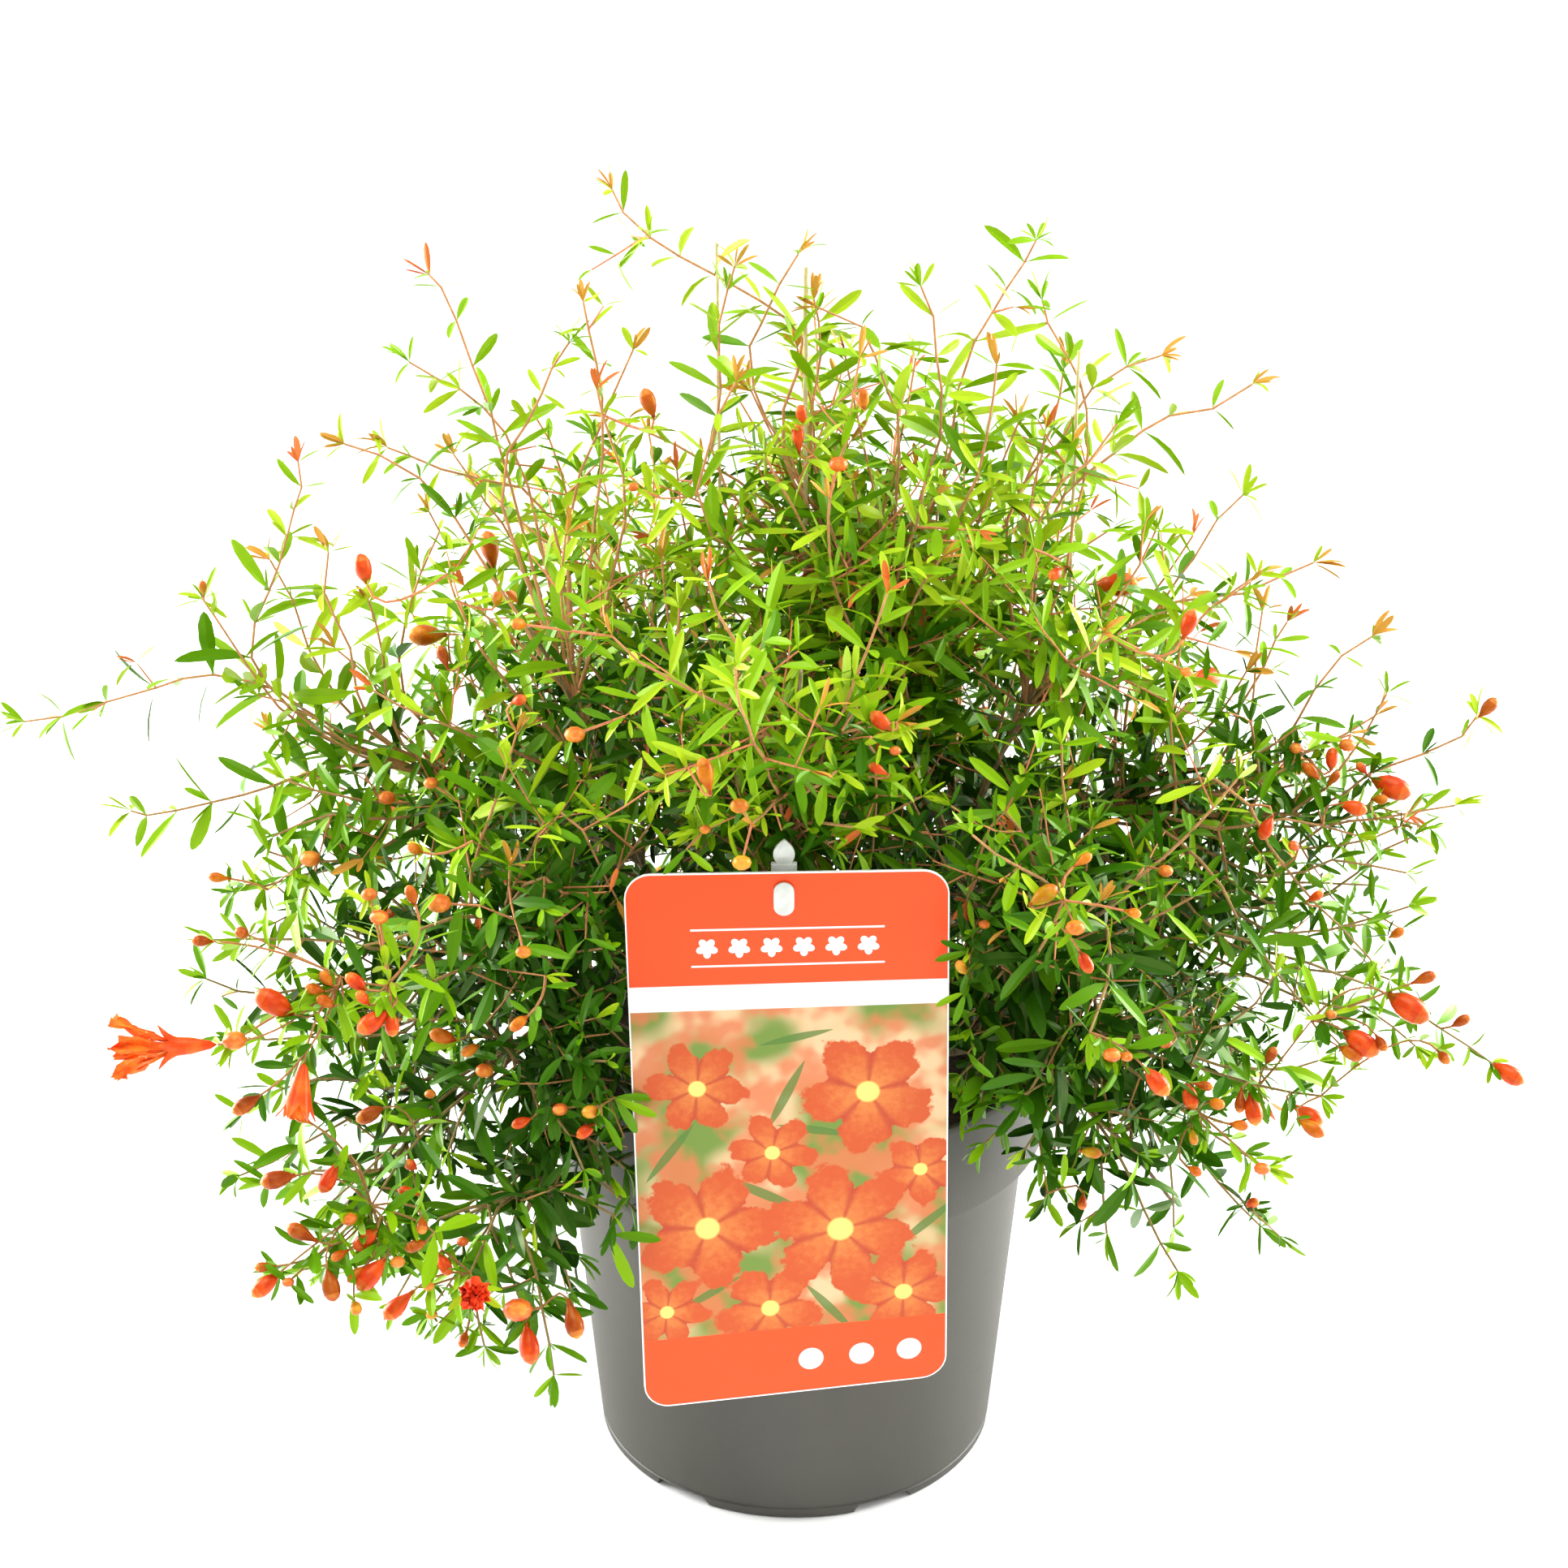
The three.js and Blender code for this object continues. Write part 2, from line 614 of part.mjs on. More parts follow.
function trunkAxis(z) {
  const up = (z - TRUNK_FOOT) / TRUNK.height;
  return new THREE.Vector3(TRUNK.leanX * up, TRUNK.leanY * up, z);
}

function trunkRadius(along) {
  const flare = Math.max(0, 1 - (along * TRUNK.height) / TRUNK.flareHeight);
  const straight = THREE.MathUtils.lerp(TRUNK.waistRadius, TRUNK.forkRadius, along);
  return straight + (TRUNK.flareRadius - TRUNK.waistRadius) * flare ** 2;
}

// The stump, wider at its foot and leaning a little, cut flat where it stands on the soil.
function trunkGeometry(grow) {
  const geometry = new THREE.CylinderGeometry(1, 1, 1, TRUNK.sides, TRUNK.steps).rotateX(Math.PI / 2);
  const position = geometry.attributes.position;
  for (let i = 0; i < position.count; i++) {
    const along = position.getZ(i) + 0.5;
    const middle = trunkAxis(TRUNK_FOOT + along * TRUNK.height);
    const azimuth = Math.atan2(position.getY(i), position.getX(i));
    const ribs = 1 + TRUNK.threeRibs * Math.sin(3 * azimuth + 1) + TRUNK.fiveRibs * Math.sin(5 * azimuth);
    const radius = Math.hypot(position.getX(i), position.getY(i)) * (trunkRadius(along) * ribs + grow);
    const onTop = along > 1 - 0.5 / TRUNK.steps;
    const z = middle.z + (onTop ? grow : 0);
    position.setXYZ(i, middle.x + radius * Math.cos(azimuth), middle.y + radius * Math.sin(azimuth), z);
  }
  return geometry;
}

function trunk() {
  return part('trunk', weld(trunkGeometry(0)), SURFACES.bark);
}

function boughCurve(spec) {
  const level = trunkAxis(TRUNK_FOOT + spec.rootZ);
  const root = level.clone().add(polar(spec.azimuth, BOUGH.axisOut, 0));
  const rise = (spec.z - level.z) * BOUGH.kneeUp;
  const knee = level.clone().add(polar(spec.azimuth, spec.out * BOUGH.kneeOut, rise));
  const tip = polar(spec.azimuth, spec.out, spec.z);
  return new THREE.QuadraticBezierCurve3(root, knee, tip);
}

// One tapering limb from the stump to where it enters the foliage.
function bough(name, curve, keepNear) {
  const radiusAt = (along) => THREE.MathUtils.lerp(BOUGH.baseRadius, BOUGH.tipRadius, along);
  let solid = solidOf(limb(curve, radiusAt, BOUGH.sides, BOUGH.steps));
  solid = solid.subtract(solidOf(trunkGeometry(GAP)));
  for (const mass of GROWN) {
    solid = solid.subtract(mass);
  }
  return part(name, geometryOf(pieceNear(solid, keepNear)), SURFACES.bark);
}

function boughs() {
  const limbs = BOUGHS.map((spec) => {
    const root = trunkAxis(TRUNK_FOOT + spec.rootZ).add(polar(spec.azimuth, BOUGH.barkOut, 0));
    return bough(spec.name, boughCurve(spec), root);
  });
  const fork = trunkAxis(TRUNK_FOOT + TRUNK.height);
  const tip = new THREE.Vector3(fork.x + LEADER.leanX, fork.y + LEADER.leanY, LEADER.top);
  const middle = fork.clone().lerp(tip, 0.5).add(new THREE.Vector3(LEADER.leanX / 2, 0, 0));
  const start = fork.clone().addScaledVector(UP, -BOUGH.leaderSunk);
  limbs.push(bough(LEADER.name, new THREE.QuadraticBezierCurve3(start, middle, tip), fork));
  return limbs;
}

// ---------------------------------------------------------------- assembly

const group = new THREE.Group();
group.add(pot(), soil(), card(), stake(), trunk(), ...boughs(), ...foliageMasses(), ...SHOOTS.map(shoot));

export default group;
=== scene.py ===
"""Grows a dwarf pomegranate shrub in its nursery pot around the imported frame."""

import math
import random

import bmesh
import bpy
import numpy as np
from bpy.props import FloatProperty, FloatVectorProperty, IntProperty, PointerProperty
from mathutils import Matrix, Vector, noise
from mathutils.bvhtree import BVHTree


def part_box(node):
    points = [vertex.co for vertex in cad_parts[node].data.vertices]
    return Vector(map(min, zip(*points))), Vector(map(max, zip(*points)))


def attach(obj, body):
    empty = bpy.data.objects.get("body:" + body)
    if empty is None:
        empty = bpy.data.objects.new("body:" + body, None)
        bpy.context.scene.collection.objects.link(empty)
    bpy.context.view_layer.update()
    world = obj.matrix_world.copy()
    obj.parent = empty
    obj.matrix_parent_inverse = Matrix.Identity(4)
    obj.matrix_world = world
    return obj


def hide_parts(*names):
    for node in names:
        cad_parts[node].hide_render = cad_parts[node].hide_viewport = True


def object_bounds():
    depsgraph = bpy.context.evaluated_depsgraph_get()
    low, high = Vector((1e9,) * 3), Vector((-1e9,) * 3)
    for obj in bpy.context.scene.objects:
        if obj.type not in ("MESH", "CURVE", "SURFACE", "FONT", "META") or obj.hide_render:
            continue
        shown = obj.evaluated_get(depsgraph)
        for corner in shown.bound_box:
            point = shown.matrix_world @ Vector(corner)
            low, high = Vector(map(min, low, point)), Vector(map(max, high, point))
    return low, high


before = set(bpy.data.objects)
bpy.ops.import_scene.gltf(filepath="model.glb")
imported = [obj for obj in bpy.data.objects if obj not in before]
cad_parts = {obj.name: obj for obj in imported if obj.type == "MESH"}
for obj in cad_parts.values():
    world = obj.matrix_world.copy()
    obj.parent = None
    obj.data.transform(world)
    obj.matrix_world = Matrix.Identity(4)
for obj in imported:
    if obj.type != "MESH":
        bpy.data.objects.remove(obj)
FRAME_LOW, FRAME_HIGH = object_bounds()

bl_info = {
    "name": "Potted Pomegranate",
    "version": (1, 0, 0),
    "blender": (4, 5, 0),
    "location": "3D View > Sidebar > Pomegranate",
    "description": "Makes a dwarf pomegranate shrub with buds and flowers, its pot and its label",
    "category": "Add Mesh",
}

MM = 0.001
UP = Vector((0, 0, 1))
FOLIAGE = sorted(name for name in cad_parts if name.startswith("foliage"))
SHOOTS = [name for name in FOLIAGE if name.startswith("foliage_shoot")]
SKIRTS = [name for name in FOLIAGE if name.startswith("foliage_skirt")]
CROWN = [name for name in FOLIAGE if name not in SHOOTS and name not in SKIRTS]
LIMBS = sorted(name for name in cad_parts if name.startswith("bough"))


# ------------------------------------------------------------------ places and curves


def mm(x, y, z):
    return Vector((x, y, z)) * MM


def polar(azimuth, out, z):
    """A point from its azimuth in degrees and its distance and height in millimetres."""
    turn = math.radians(azimuth)
    return mm(out * math.cos(turn), out * math.sin(turn), z)


def mix(low, high, share):
    return low + (high - low) * share


def portion(value, low, high):
    """How far a value has come from low to high, kept between 0 and 1."""
    return max(0.0, min((value - low) / (high - low), 1.0))


def eased(share):
    """A share that starts and ends gently."""
    return share * share * (3 - 2 * share)


def taper(count, thick, thin, power=1):
    """Radii in metres for a limb's points, between two given in millimetres."""
    return [mix(thick, thin, (i / (count - 1)) ** power) * MM for i in range(count)]


def shaded(colour, share):
    return tuple(share * value for value in colour)


def bend(points, share):
    """A point on a Bezier curve with any number of handles."""
    while len(points) > 1:
        points = [a.lerp(b, share) for a, b in zip(points, points[1:])]
    return points[0]


def along_curve(handles, step):
    """Points a step apart on a Bezier curve, both ends included."""
    fine = [bend(handles, i / 40) for i in range(41)]
    lengths = [0.0]
    for a, b in zip(fine, fine[1:]):
        lengths.append(lengths[-1] + (b - a).length)
    count = max(2, round(lengths[-1] / step))
    points = []
    for i in range(count + 1):
        wanted = lengths[-1] * i / count
        k = min(max(1, next((j for j, at in enumerate(lengths) if at >= wanted), 40)), 40)
        share = (wanted - lengths[k - 1]) / max(lengths[k] - lengths[k - 1], 1e-9)
        points.append(fine[k - 1].lerp(fine[k], share))
    return points


def through(places, step):
    """Points about a step apart on a smooth curve that passes through some places."""
    points = []
    for i, (a, b) in enumerate(zip(places, places[1:])):
        before, after = places[max(i - 1, 0)], places[min(i + 2, len(places) - 1)]
        handles = [a, a + (b - before) / 6, b - (after - a) / 6, b]
        count = max(1, round((b - a).length / step))
        points += [bend(handles, k / count) for k in range(count)]
    return points + [places[-1]]


def across(direction):
    """Any unit vector at right angles to a direction."""
    side = direction.cross(UP)
    return side.normalized() if side.length > 1e-3 else Vector((1, 0, 0))


def node_at(points, i, turn):
    """The way a twig runs to one of its points, and a direction out of it, turned by an angle."""
    twig = (points[i] - points[i - 1]).normalized()
    return twig, Matrix.Rotation(turn, 3, twig) @ across(twig)


# ------------------------------------------------------------------ view

# The camera's place in millimetres, its turns in radians, its lens, and the side of its view in pixels.
VIEW = {
    "place": (0, -908.25, 634.38),
    "pitch": 0.3861,
    "yaw": -0.0049,
    "sensor": 36.0,
    "lens": 62.05,
    "side": 1932,
}


def sight(x, y):
    """The camera's place and the direction in which it sees a pixel of the picture."""
    pitch, yaw = VIEW["pitch"], VIEW["yaw"]
    forward = Vector((math.sin(yaw) * math.cos(pitch), math.cos(yaw) * math.cos(pitch), -math.sin(pitch)))
    right = Vector((math.cos(yaw), -math.sin(yaw), 0))
    up = right.cross(forward)
    focal = VIEW["side"] * VIEW["lens"] / VIEW["sensor"]
    middle = VIEW["side"] / 2
    ray = forward + right * ((x - middle) / focal) + up * ((middle - y) / focal)
    return mm(*VIEW["place"]), ray.normalized()


def seen_at(x, y, depth):
    """The point that shows at a pixel, at a distance in millimetres behind the shrub's middle."""
    eye, ray = sight(x, y)
    return eye + ray * ((depth * MM - eye.y) / ray.y)


# ------------------------------------------------------------------ finishes


class Value:
    """A socket of a finish that takes part in sums like a number."""

    def __init__(self, finish, socket):
        self.finish = finish
        self.socket = socket

    def sum(self, operation, *values):
        return self.finish.node("ShaderNodeMath", {"operation": operation}, dict(enumerate(values)))

    def __add__(self, other):
        return self.sum("ADD", self, other)

    def __sub__(self, other):
        return self.sum("SUBTRACT", self, other)

    def __rsub__(self, other):
        return self.sum("SUBTRACT", other, self)

    def __mul__(self, other):
        return self.sum("MULTIPLY", self, other)

    def __truediv__(self, other):
        return self.sum("DIVIDE", self, other)

    def __pow__(self, other):
        return self.sum("POWER", self, other)

    def __abs__(self):
        return self.sum("ABSOLUTE", self)

    __radd__ = __add__
    __rmul__ = __mul__

    def most(self, other):
        return self.sum("MAXIMUM", self, other)

    def least(self, other):
        return self.sum("MINIMUM", self, other)

    def cosine(self):
        return self.sum("COSINE", self)

    def ramp(self, low, high):
        """0 below low, 1 above high and smooth in between; low may be the larger."""
        settings = {"interpolation_type": "SMOOTHSTEP"}
        return self.finish.node("ShaderNodeMapRange", settings, {0: self, 1: low, 2: high})


class Finish:
    """A surface finish: one Principled shader and whatever feeds it."""

    def __init__(self, name, **surface):
        self.material = bpy.data.materials.new(name)
        self.material.use_nodes = True
        self.tree = self.material.node_tree
        self.shader = self.tree.nodes["Principled BSDF"]
        self.set(**surface)

    def set(self, **surface):
        """Sets sockets of the shader: coat_weight=0.3 sets Coat Weight."""
        for name, value in surface.items():
            self.feed(self.shader.inputs[name.replace("_", " ").title().replace("Ior", "IOR")], value)

    def feed(self, socket, value):
        if isinstance(value, Value):
            self.tree.links.new(value.socket, socket)
        elif socket.type == "RGBA" and len(value) == 3:
            socket.default_value = (*value, 1)
        else:
            socket.default_value = value

    def node(self, kind, settings=None, inputs=None, output=0):
        """Adds a node with its settings, then its sockets, and returns one of its outputs."""
        made = self.tree.nodes.new(kind)
        for name, value in (settings or {}).items():
            if name == "stops":
                made.color_ramp.elements.remove(made.color_ramp.elements[0])
                for i, (place, colour) in enumerate(value):
                    stop = made.color_ramp.elements[0] if i == 0 else made.color_ramp.elements.new(place)
                    stop.position = place
                    stop.color = (*colour, 1)
            else:
                setattr(made, name, value)
        for key, value in (inputs or {}).items():
            self.feed(made.inputs[key], value)
        return Value(self, made.outputs[output])

    def place(self):
        """Where a point of the piece is, in metres."""
        return self.node("ShaderNodeTexCoord", output="Object")

    def uv(self):
        return self.node("ShaderNodeUVMap", {"uv_map": "UVMap"})

    def parts(self, vector):
        split = self.node("ShaderNodeSeparateXYZ", inputs={0: vector}).socket.node
        return [Value(self, socket) for socket in split.outputs]

    def stretched(self, vector, scale):
        return self.node("ShaderNodeMapping", inputs={"Vector": vector, "Scale": scale})

    def grain(self, vector, scale, detail=3.0, rough=0.5):
        inputs = {"Vector": vector, "Scale": scale, "Detail": detail, "Roughness": rough}
        return self.node("ShaderNodeTexNoise", inputs=inputs)

    def blend(self, share, low, high):
        """A colour between two others."""
        return self.node("ShaderNodeMix", {"data_type": "RGBA"}, {0: share, 6: low, 7: high}, output=2)

    def relief(self, height, depth, strength=1.0):
        inputs = {"Height": height, "Distance": depth, "Strength": strength}
        self.set(normal=self.node("ShaderNodeBump", inputs=inputs))


# ------------------------------------------------------------------ meshes


def soften(bm, limit):
    """Smooth faces, with a crease wherever two meet at more than limit degrees."""
    for face in bm.faces:
        face.smooth = True
    for edge in bm.edges:
        edge.smooth = edge.calc_face_angle(0) < math.radians(limit)


def face_out(bm):
    bmesh.ops.recalc_face_normals(bm, faces=bm.faces)


def mesh_of(bm, name):
    mesh = bpy.data.meshes.new(name)
    bm.to_mesh(mesh)
    bm.free()
    return mesh


def add_piece(name, mesh, finishes, nodes=()):
    """A finished piece of the object, at the origin, with its place in its mesh."""
    for finish in finishes:
        mesh.materials.append(finish.material)
    piece = bpy.data.objects.new(name, mesh)
    bpy.context.scene.collection.objects.link(piece)
    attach(piece, "root")
    if nodes:
        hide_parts(*nodes)
    return piece


def cut(mesh, tool):
    """The mesh with the tool mesh taken away from it."""
    body = bpy.data.objects.new("body", mesh)
    cutter = bpy.data.objects.new("cutter", tool)
    for piece in (body, cutter):
        bpy.context.scene.collection.objects.link(piece)
    step = body.modifiers.new("cut", "BOOLEAN")
    step.operation = "DIFFERENCE"
    step.solver = "EXACT"
    step.object = cutter
    ready = body.evaluated_get(bpy.context.evaluated_depsgraph_get())
    done = bpy.data.meshes.new_from_object(ready)
    for piece in (body, cutter):
        bpy.data.objects.remove(piece)
    return done


def turned(bm, profile, steps):
    """Spins a profile of (radius, height) pairs in millimetres into a closed wall."""
    corners = [bm.verts.new(mm(radius, 0, height)) for radius, height in profile]
    edges = [bm.edges.new(pair) for pair in zip(corners, corners[1:])]
    bmesh.ops.spin(
        bm,
        geom=corners + edges,
        cent=(0, 0, 0),
        axis=(0, 0, 1),
        angle=math.tau,
        steps=steps,
        use_merge=True,
    )
    bmesh.ops.remove_doubles(bm, verts=bm.verts, dist=1e-6)
    face_out(bm)


def tubes(name, limbs, sides):
    """One mesh of many tapering round limbs; each is a list of points and a list of radii."""
    curve = bpy.data.curves.new(name, "CURVE")
    curve.dimensions = "3D"
    curve.bevel_depth = 1.0
    curve.bevel_resolution = (sides - 4) // 2
    curve.use_fill_caps = True
    for points, radii in limbs:
        spline = curve.splines.new("POLY")
        spline.points.add(len(points) - 1)
        spline.points.foreach_set("co", [value for point in points for value in (*point, 1.0)])
        spline.points.foreach_set("radius", radii)
    holder = bpy.data.objects.new(name, curve)
    bpy.context.scene.collection.objects.link(holder)
    ready = holder.evaluated_get(bpy.context.evaluated_depsgraph_get())
    mesh = bpy.data.meshes.new_from_object(ready)
    bpy.data.objects.remove(holder)
    mesh.name = name
    mesh.polygons.foreach_set("use_smooth", [True] * len(mesh.polygons))
    return mesh


class Shape:
    """A small mesh kept as arrays, ready to be copied many times."""

    def __init__(self, bm):
        bm.verts.ensure_lookup_table()
        self.points = np.array([vert.co[:] for vert in bm.verts])
        self.corners = np.array([vert.index for face in bm.faces for vert in face.verts])
        self.counts = np.array([len(face.verts) for face in bm.faces])
        self.finish = np.array([face.material_index for face in bm.faces])
        creases = [edge for edge in bm.edges if not edge.smooth]
        self.creases = np.array([[vert.index for vert in edge.verts] for edge in creases]).reshape(-1, 2)
        bm.free()


def joined(name, copies):
    """One mesh of many copies; each is a shape and the matrix that puts it in place."""
    points, corners, counts, finish, creases = [], [], [], [], []
    start = 0
    for shape in dict.fromkeys(shape for shape, _ in copies):
        places = np.array([matrix for other, matrix in copies if other is shape])
        count = len(places)
        moved = np.einsum("kij,nj->kni", places[:, :3, :3], shape.points) + places[:, None, :3, 3]
        points.append(moved.reshape(-1, 3))
        offsets = start + np.arange(count) * len(shape.points)
        corners.append((offsets[:, None] + shape.corners).ravel())
        creases.append((offsets[:, None, None] + shape.creases).reshape(-1, 2))
        counts.append(np.tile(shape.counts, count))
        finish.append(np.tile(shape.finish, count))
        start += count * len(shape.points)
    points, corners, counts = np.concatenate(points), np.concatenate(corners), np.concatenate(counts)
    mesh = bpy.data.meshes.new(name)
    mesh.vertices.add(len(points))
    mesh.vertices.foreach_set("co", points.astype(np.float32).ravel())
    mesh.loops.add(len(corners))
    mesh.loops.foreach_set("vertex_index", corners.astype(np.int32))
    mesh.polygons.add(len(counts))
    starts = np.concatenate([[0], np.cumsum(counts)[:-1]])
    mesh.polygons.foreach_set("loop_start", starts.astype(np.int32))
    mesh.polygons.foreach_set("material_index", np.concatenate(finish).astype(np.int32))
    mesh.polygons.foreach_set("use_smooth", np.ones(len(counts), bool))
    mesh.update(calc_edges=True)
    creases = np.concatenate(creases)
    if len(creases):
        ends = np.zeros(len(mesh.edges) * 2, np.int32)
        mesh.edges.foreach_get("vertices", ends)
        keys = np.sort(ends.reshape(-1, 2), axis=1) @ np.array([len(points), 1])
        wanted = np.sort(creases, axis=1) @ np.array([len(points), 1])
        mesh.edges.foreach_set("use_edge_sharp", np.isin(keys, wanted))
    mesh.validate()
    return mesh


def standing(place, direction, facing, width, length):
    """A matrix that lays a shape's Y along a direction and its Z towards facing."""
    y = direction.normalized()
    x = y.cross(facing)
    x = x.normalized() if x.length > 1e-6 else across(y)
    z = x.cross(y)
    rows = [(x[i] * width, y[i] * length, z[i] * length, place[i]) for i in range(3)]
    return [*rows, (0, 0, 0, 1)]


# ------------------------------------------------------------------ pot

POT = {
    "height": 167,
    "rim": 95,
    "band": 38.5,
    "rim_wall": 2.4,
    "wall_top": 87.4,
    "foot": 76.5,
    "wall": 1.9,
    "floor_underside": 3.6,
    "floor_top": 5.6,
    "foot_ring_inner": 68,
    "middle_pad": 24,
    "columns": 120,
}
# The foot's notches: how many degrees beyond its side a notch gathers the wall's columns, and how near to its
# side they then stand, inside and outside.
NOTCH = {"count": 6, "start": -64, "half_angle": 9.0, "height": 3.8, "beyond": 3, "edge": (0.1, 0.3)}
DRAIN = {"count": 8, "radius": 5, "out": 47, "start": -34}


def pot_wall(z):
    return mix(POT["foot"], POT["wall_top"], z / (POT["height"] - POT["band"]))


def pot_profile():
    """Radius and height of the pot's section, from the middle of its underside round to its floor."""
    band = POT["height"] - POT["band"]
    rim, inner, top = POT["rim"], POT["rim"] - POT["rim_wall"], POT["height"]
    outside = [
        (0, 0),
        (POT["middle_pad"], 0),
        (POT["middle_pad"] + 1.5, POT["floor_underside"]),
        (POT["foot_ring_inner"] - 1.5, POT["floor_underside"]),
        (POT["foot_ring_inner"], 0),
        (POT["foot"] - 1.4, 0),
        (POT["foot"] - 0.5, 0.3),
        (pot_wall(1.2), 1.2),
        (pot_wall(3.9), 3.9),
        (pot_wall(4.3) - 0.45, 4.3),
        (pot_wall(4.9) - 0.45, 4.9),
        (pot_wall(5.4), 5.4),
    ]
    outside += [(pot_wall(z), z) for z in (20, 40, 60, 80, 100, 118)]
    outside += [
        (pot_wall(band - 3.2), band - 3.2),
        (pot_wall(band) + 1.0, band - 1.5),
        (pot_wall(band) + 2.6, band - 0.4),
        (rim - 2.6, band - 0.1),
        (rim - 1.2, band + 0.6),
        (rim - 0.6, band + 2.0),
        (rim - 0.3, band + 14),
        (rim, top - 3.0),
        (rim, top - 1.4),
        (rim - 0.4, top - 0.4),
        (rim - 1.1, top),
    ]
    return outside + [
        (inner + 0.7, top),
        (inner + 0.1, top - 0.4),
        (inner, top - 1.5),
        (inner, band + POT["rim_wall"]),
        (pot_wall(band) - POT["wall"], band + POT["rim_wall"]),
        (pot_wall(POT["floor_top"]) - POT["wall"], POT["floor_top"]),
        (0, POT["floor_top"]),
    ]


def cut_notches(bm):
    """Lifts the foot ring where water runs out, with two columns close together at each side."""
    pitch = 360 / NOTCH["count"]
    half = NOTCH["half_angle"]
    inside, outside = NOTCH["edge"]
    even = [0, half, half + NOTCH["beyond"], pitch / 2]
    gathered = [0, half - inside, half + outside, pitch / 2]
    for vert in bm.verts:
        azimuth = math.degrees(math.atan2(vert.co.y, vert.co.x)) - NOTCH["start"]
        local = (azimuth + pitch / 2) % pitch - pitch / 2
        warped = math.copysign(np.interp(abs(local), even, gathered), local)
        out = math.hypot(vert.co.x, vert.co.y)
        turn = math.radians(azimuth - local + warped + NOTCH["start"])
        vert.co.x, vert.co.y = out * math.cos(turn), out * math.sin(turn)
        in_foot = out > (POT["foot_ring_inner"] - 0.5) * MM and vert.co.z < NOTCH["height"] * MM
        if in_foot and abs(local) < half + 0.5:
            vert.co.z = NOTCH["height"] * MM
    bmesh.ops.dissolve_degenerate(bm, dist=1e-6, edges=bm.edges)


def drain_cutter():
    bm = bmesh.new()
    for i in range(DRAIN["count"]):
        place = polar(DRAIN["start"] + 360 / DRAIN["count"] * i, DRAIN["out"], 4)
        bmesh.ops.create_cone(
            bm,
            cap_ends=True,
            segments=20,
            radius1=DRAIN["radius"] * MM,
            radius2=DRAIN["radius"] * MM,
            depth=12 * MM,
            matrix=Matrix.Translation(place),
        )
    return mesh_of(bm, "drain_cutter")


def pot_finish(settings):
    finish = Finish("moulded_plastic", roughness=0.5)
    place = finish.place()
    fine = finish.grain(place, 900, 4, 0.6)
    cloud = finish.grain(finish.stretched(place, (1, 1, 0.35)), 14, 3, 0.6)
    scuff = finish.grain(finish.stretched(place, (1, 1, 5)), 60, 4, 0.65).ramp(0.62, 0.78)
    dark = shaded(settings.colour, 0.86)
    light = shaded(settings.colour, 1.16)
    base = finish.blend(cloud.ramp(0.3, 0.7), dark, light)
    dusty = finish.blend(scuff * 0.3, base, settings.dust)
    speckled = finish.blend(fine.ramp(0.56, 0.74) * 0.35, dusty, light)
    finish.set(base_color=speckled, roughness=0.46 + 0.14 * cloud + 0.12 * scuff)
    finish.relief(fine + 0.4 * cloud, 0.00012, 0.6)
    return finish


# ------------------------------------------------------------------ soil

SOIL = {"top": 155.5, "edge_drop": 2.5, "flat": 40, "radius": 92.3, "below": 2.2, "bottom": 5.9}


def soil_height(radius):
    """The soil's height in millimetres at a distance from the middle."""
    share = max(0.0, (radius - SOIL["flat"]) / (SOIL["radius"] - SOIL["flat"]))
    return SOIL["top"] - SOIL["edge_drop"] * share


def soil_profile():
    band = POT["height"] - POT["band"] + POT["rim_wall"] + 0.3
    rings = [SOIL["radius"] * i / 30 for i in range(30, -1, -1)]
    return [
        (0, SOIL["bottom"]),
        (pot_wall(SOIL["bottom"]) - SOIL["below"], SOIL["bottom"]),
        (pot_wall(band) - SOIL["below"], band),
        (SOIL["radius"], band),
        *((radius, soil_height(radius)) for radius in rings),
    ]


def crumb(rng):
    """A small angular crumb of peat or bark."""
    bm = bmesh.new()
    bmesh.ops.create_icosphere(bm, subdivisions=1, radius=1)
    for vert in bm.verts:
        vert.co *= rng.uniform(0.6, 1.15)
    bmesh.ops.scale(bm, vec=(1.0, rng.uniform(0.5, 1.6), rng.uniform(0.35, 0.8)), verts=bm.verts)
    soften(bm, 60)
    return Shape(bm)


def soil_finish(settings):
    finish = Finish("peat_mix", roughness=0.92)
    place = finish.place()
    lumps = finish.grain(place, 160, 5, 0.65)
    fibres = finish.grain(finish.stretched(place, (1, 4, 2)), 260, 3, 0.6)
    dark = shaded(settings.colour, 0.45)
    base = finish.blend(lumps.ramp(0.36, 0.66), dark, settings.colour)
    finish.set(base_color=finish.blend(fibres.ramp(0.58, 0.7) * 0.6, base, settings.fibre))
    finish.relief(lumps + 0.5 * fibres, 0.002, 0.9)
    return finish


# ------------------------------------------------------------------ label

CARD = {
    "width": 107.5,
    "height": 203,
    "thickness": 0.8,
    "corner": 9,
    "face_y": -96,
    "centre_x": -1.3,
    "centre_z": 171.6,
    "roll": 1.1,
    "twist": 9,
    "hole_width": 5.4,
    "hole_height": 9.6,
    "hole_below_top": 9.3,
}
STAKE = {
    "foot_z": 100,
    "foot_y": -79.5,
    "top_z": 283.5,
    "top_y": -91.6,
    "x": -4,
    "stem": (6, 1.4),
    "neck": (8.6, 3.4, 2.4),
    "spade": (7.6, 9.3),
    "button": (7, 12, 1.1),
    "post": 4,
    "point": 6,
    "gap": 0.3,
    "edge": 0.32,
}
HEADER_DEPTH = 40.6
STRIPE_DEPTH = 9.2
FOOTER_DEPTH = 27


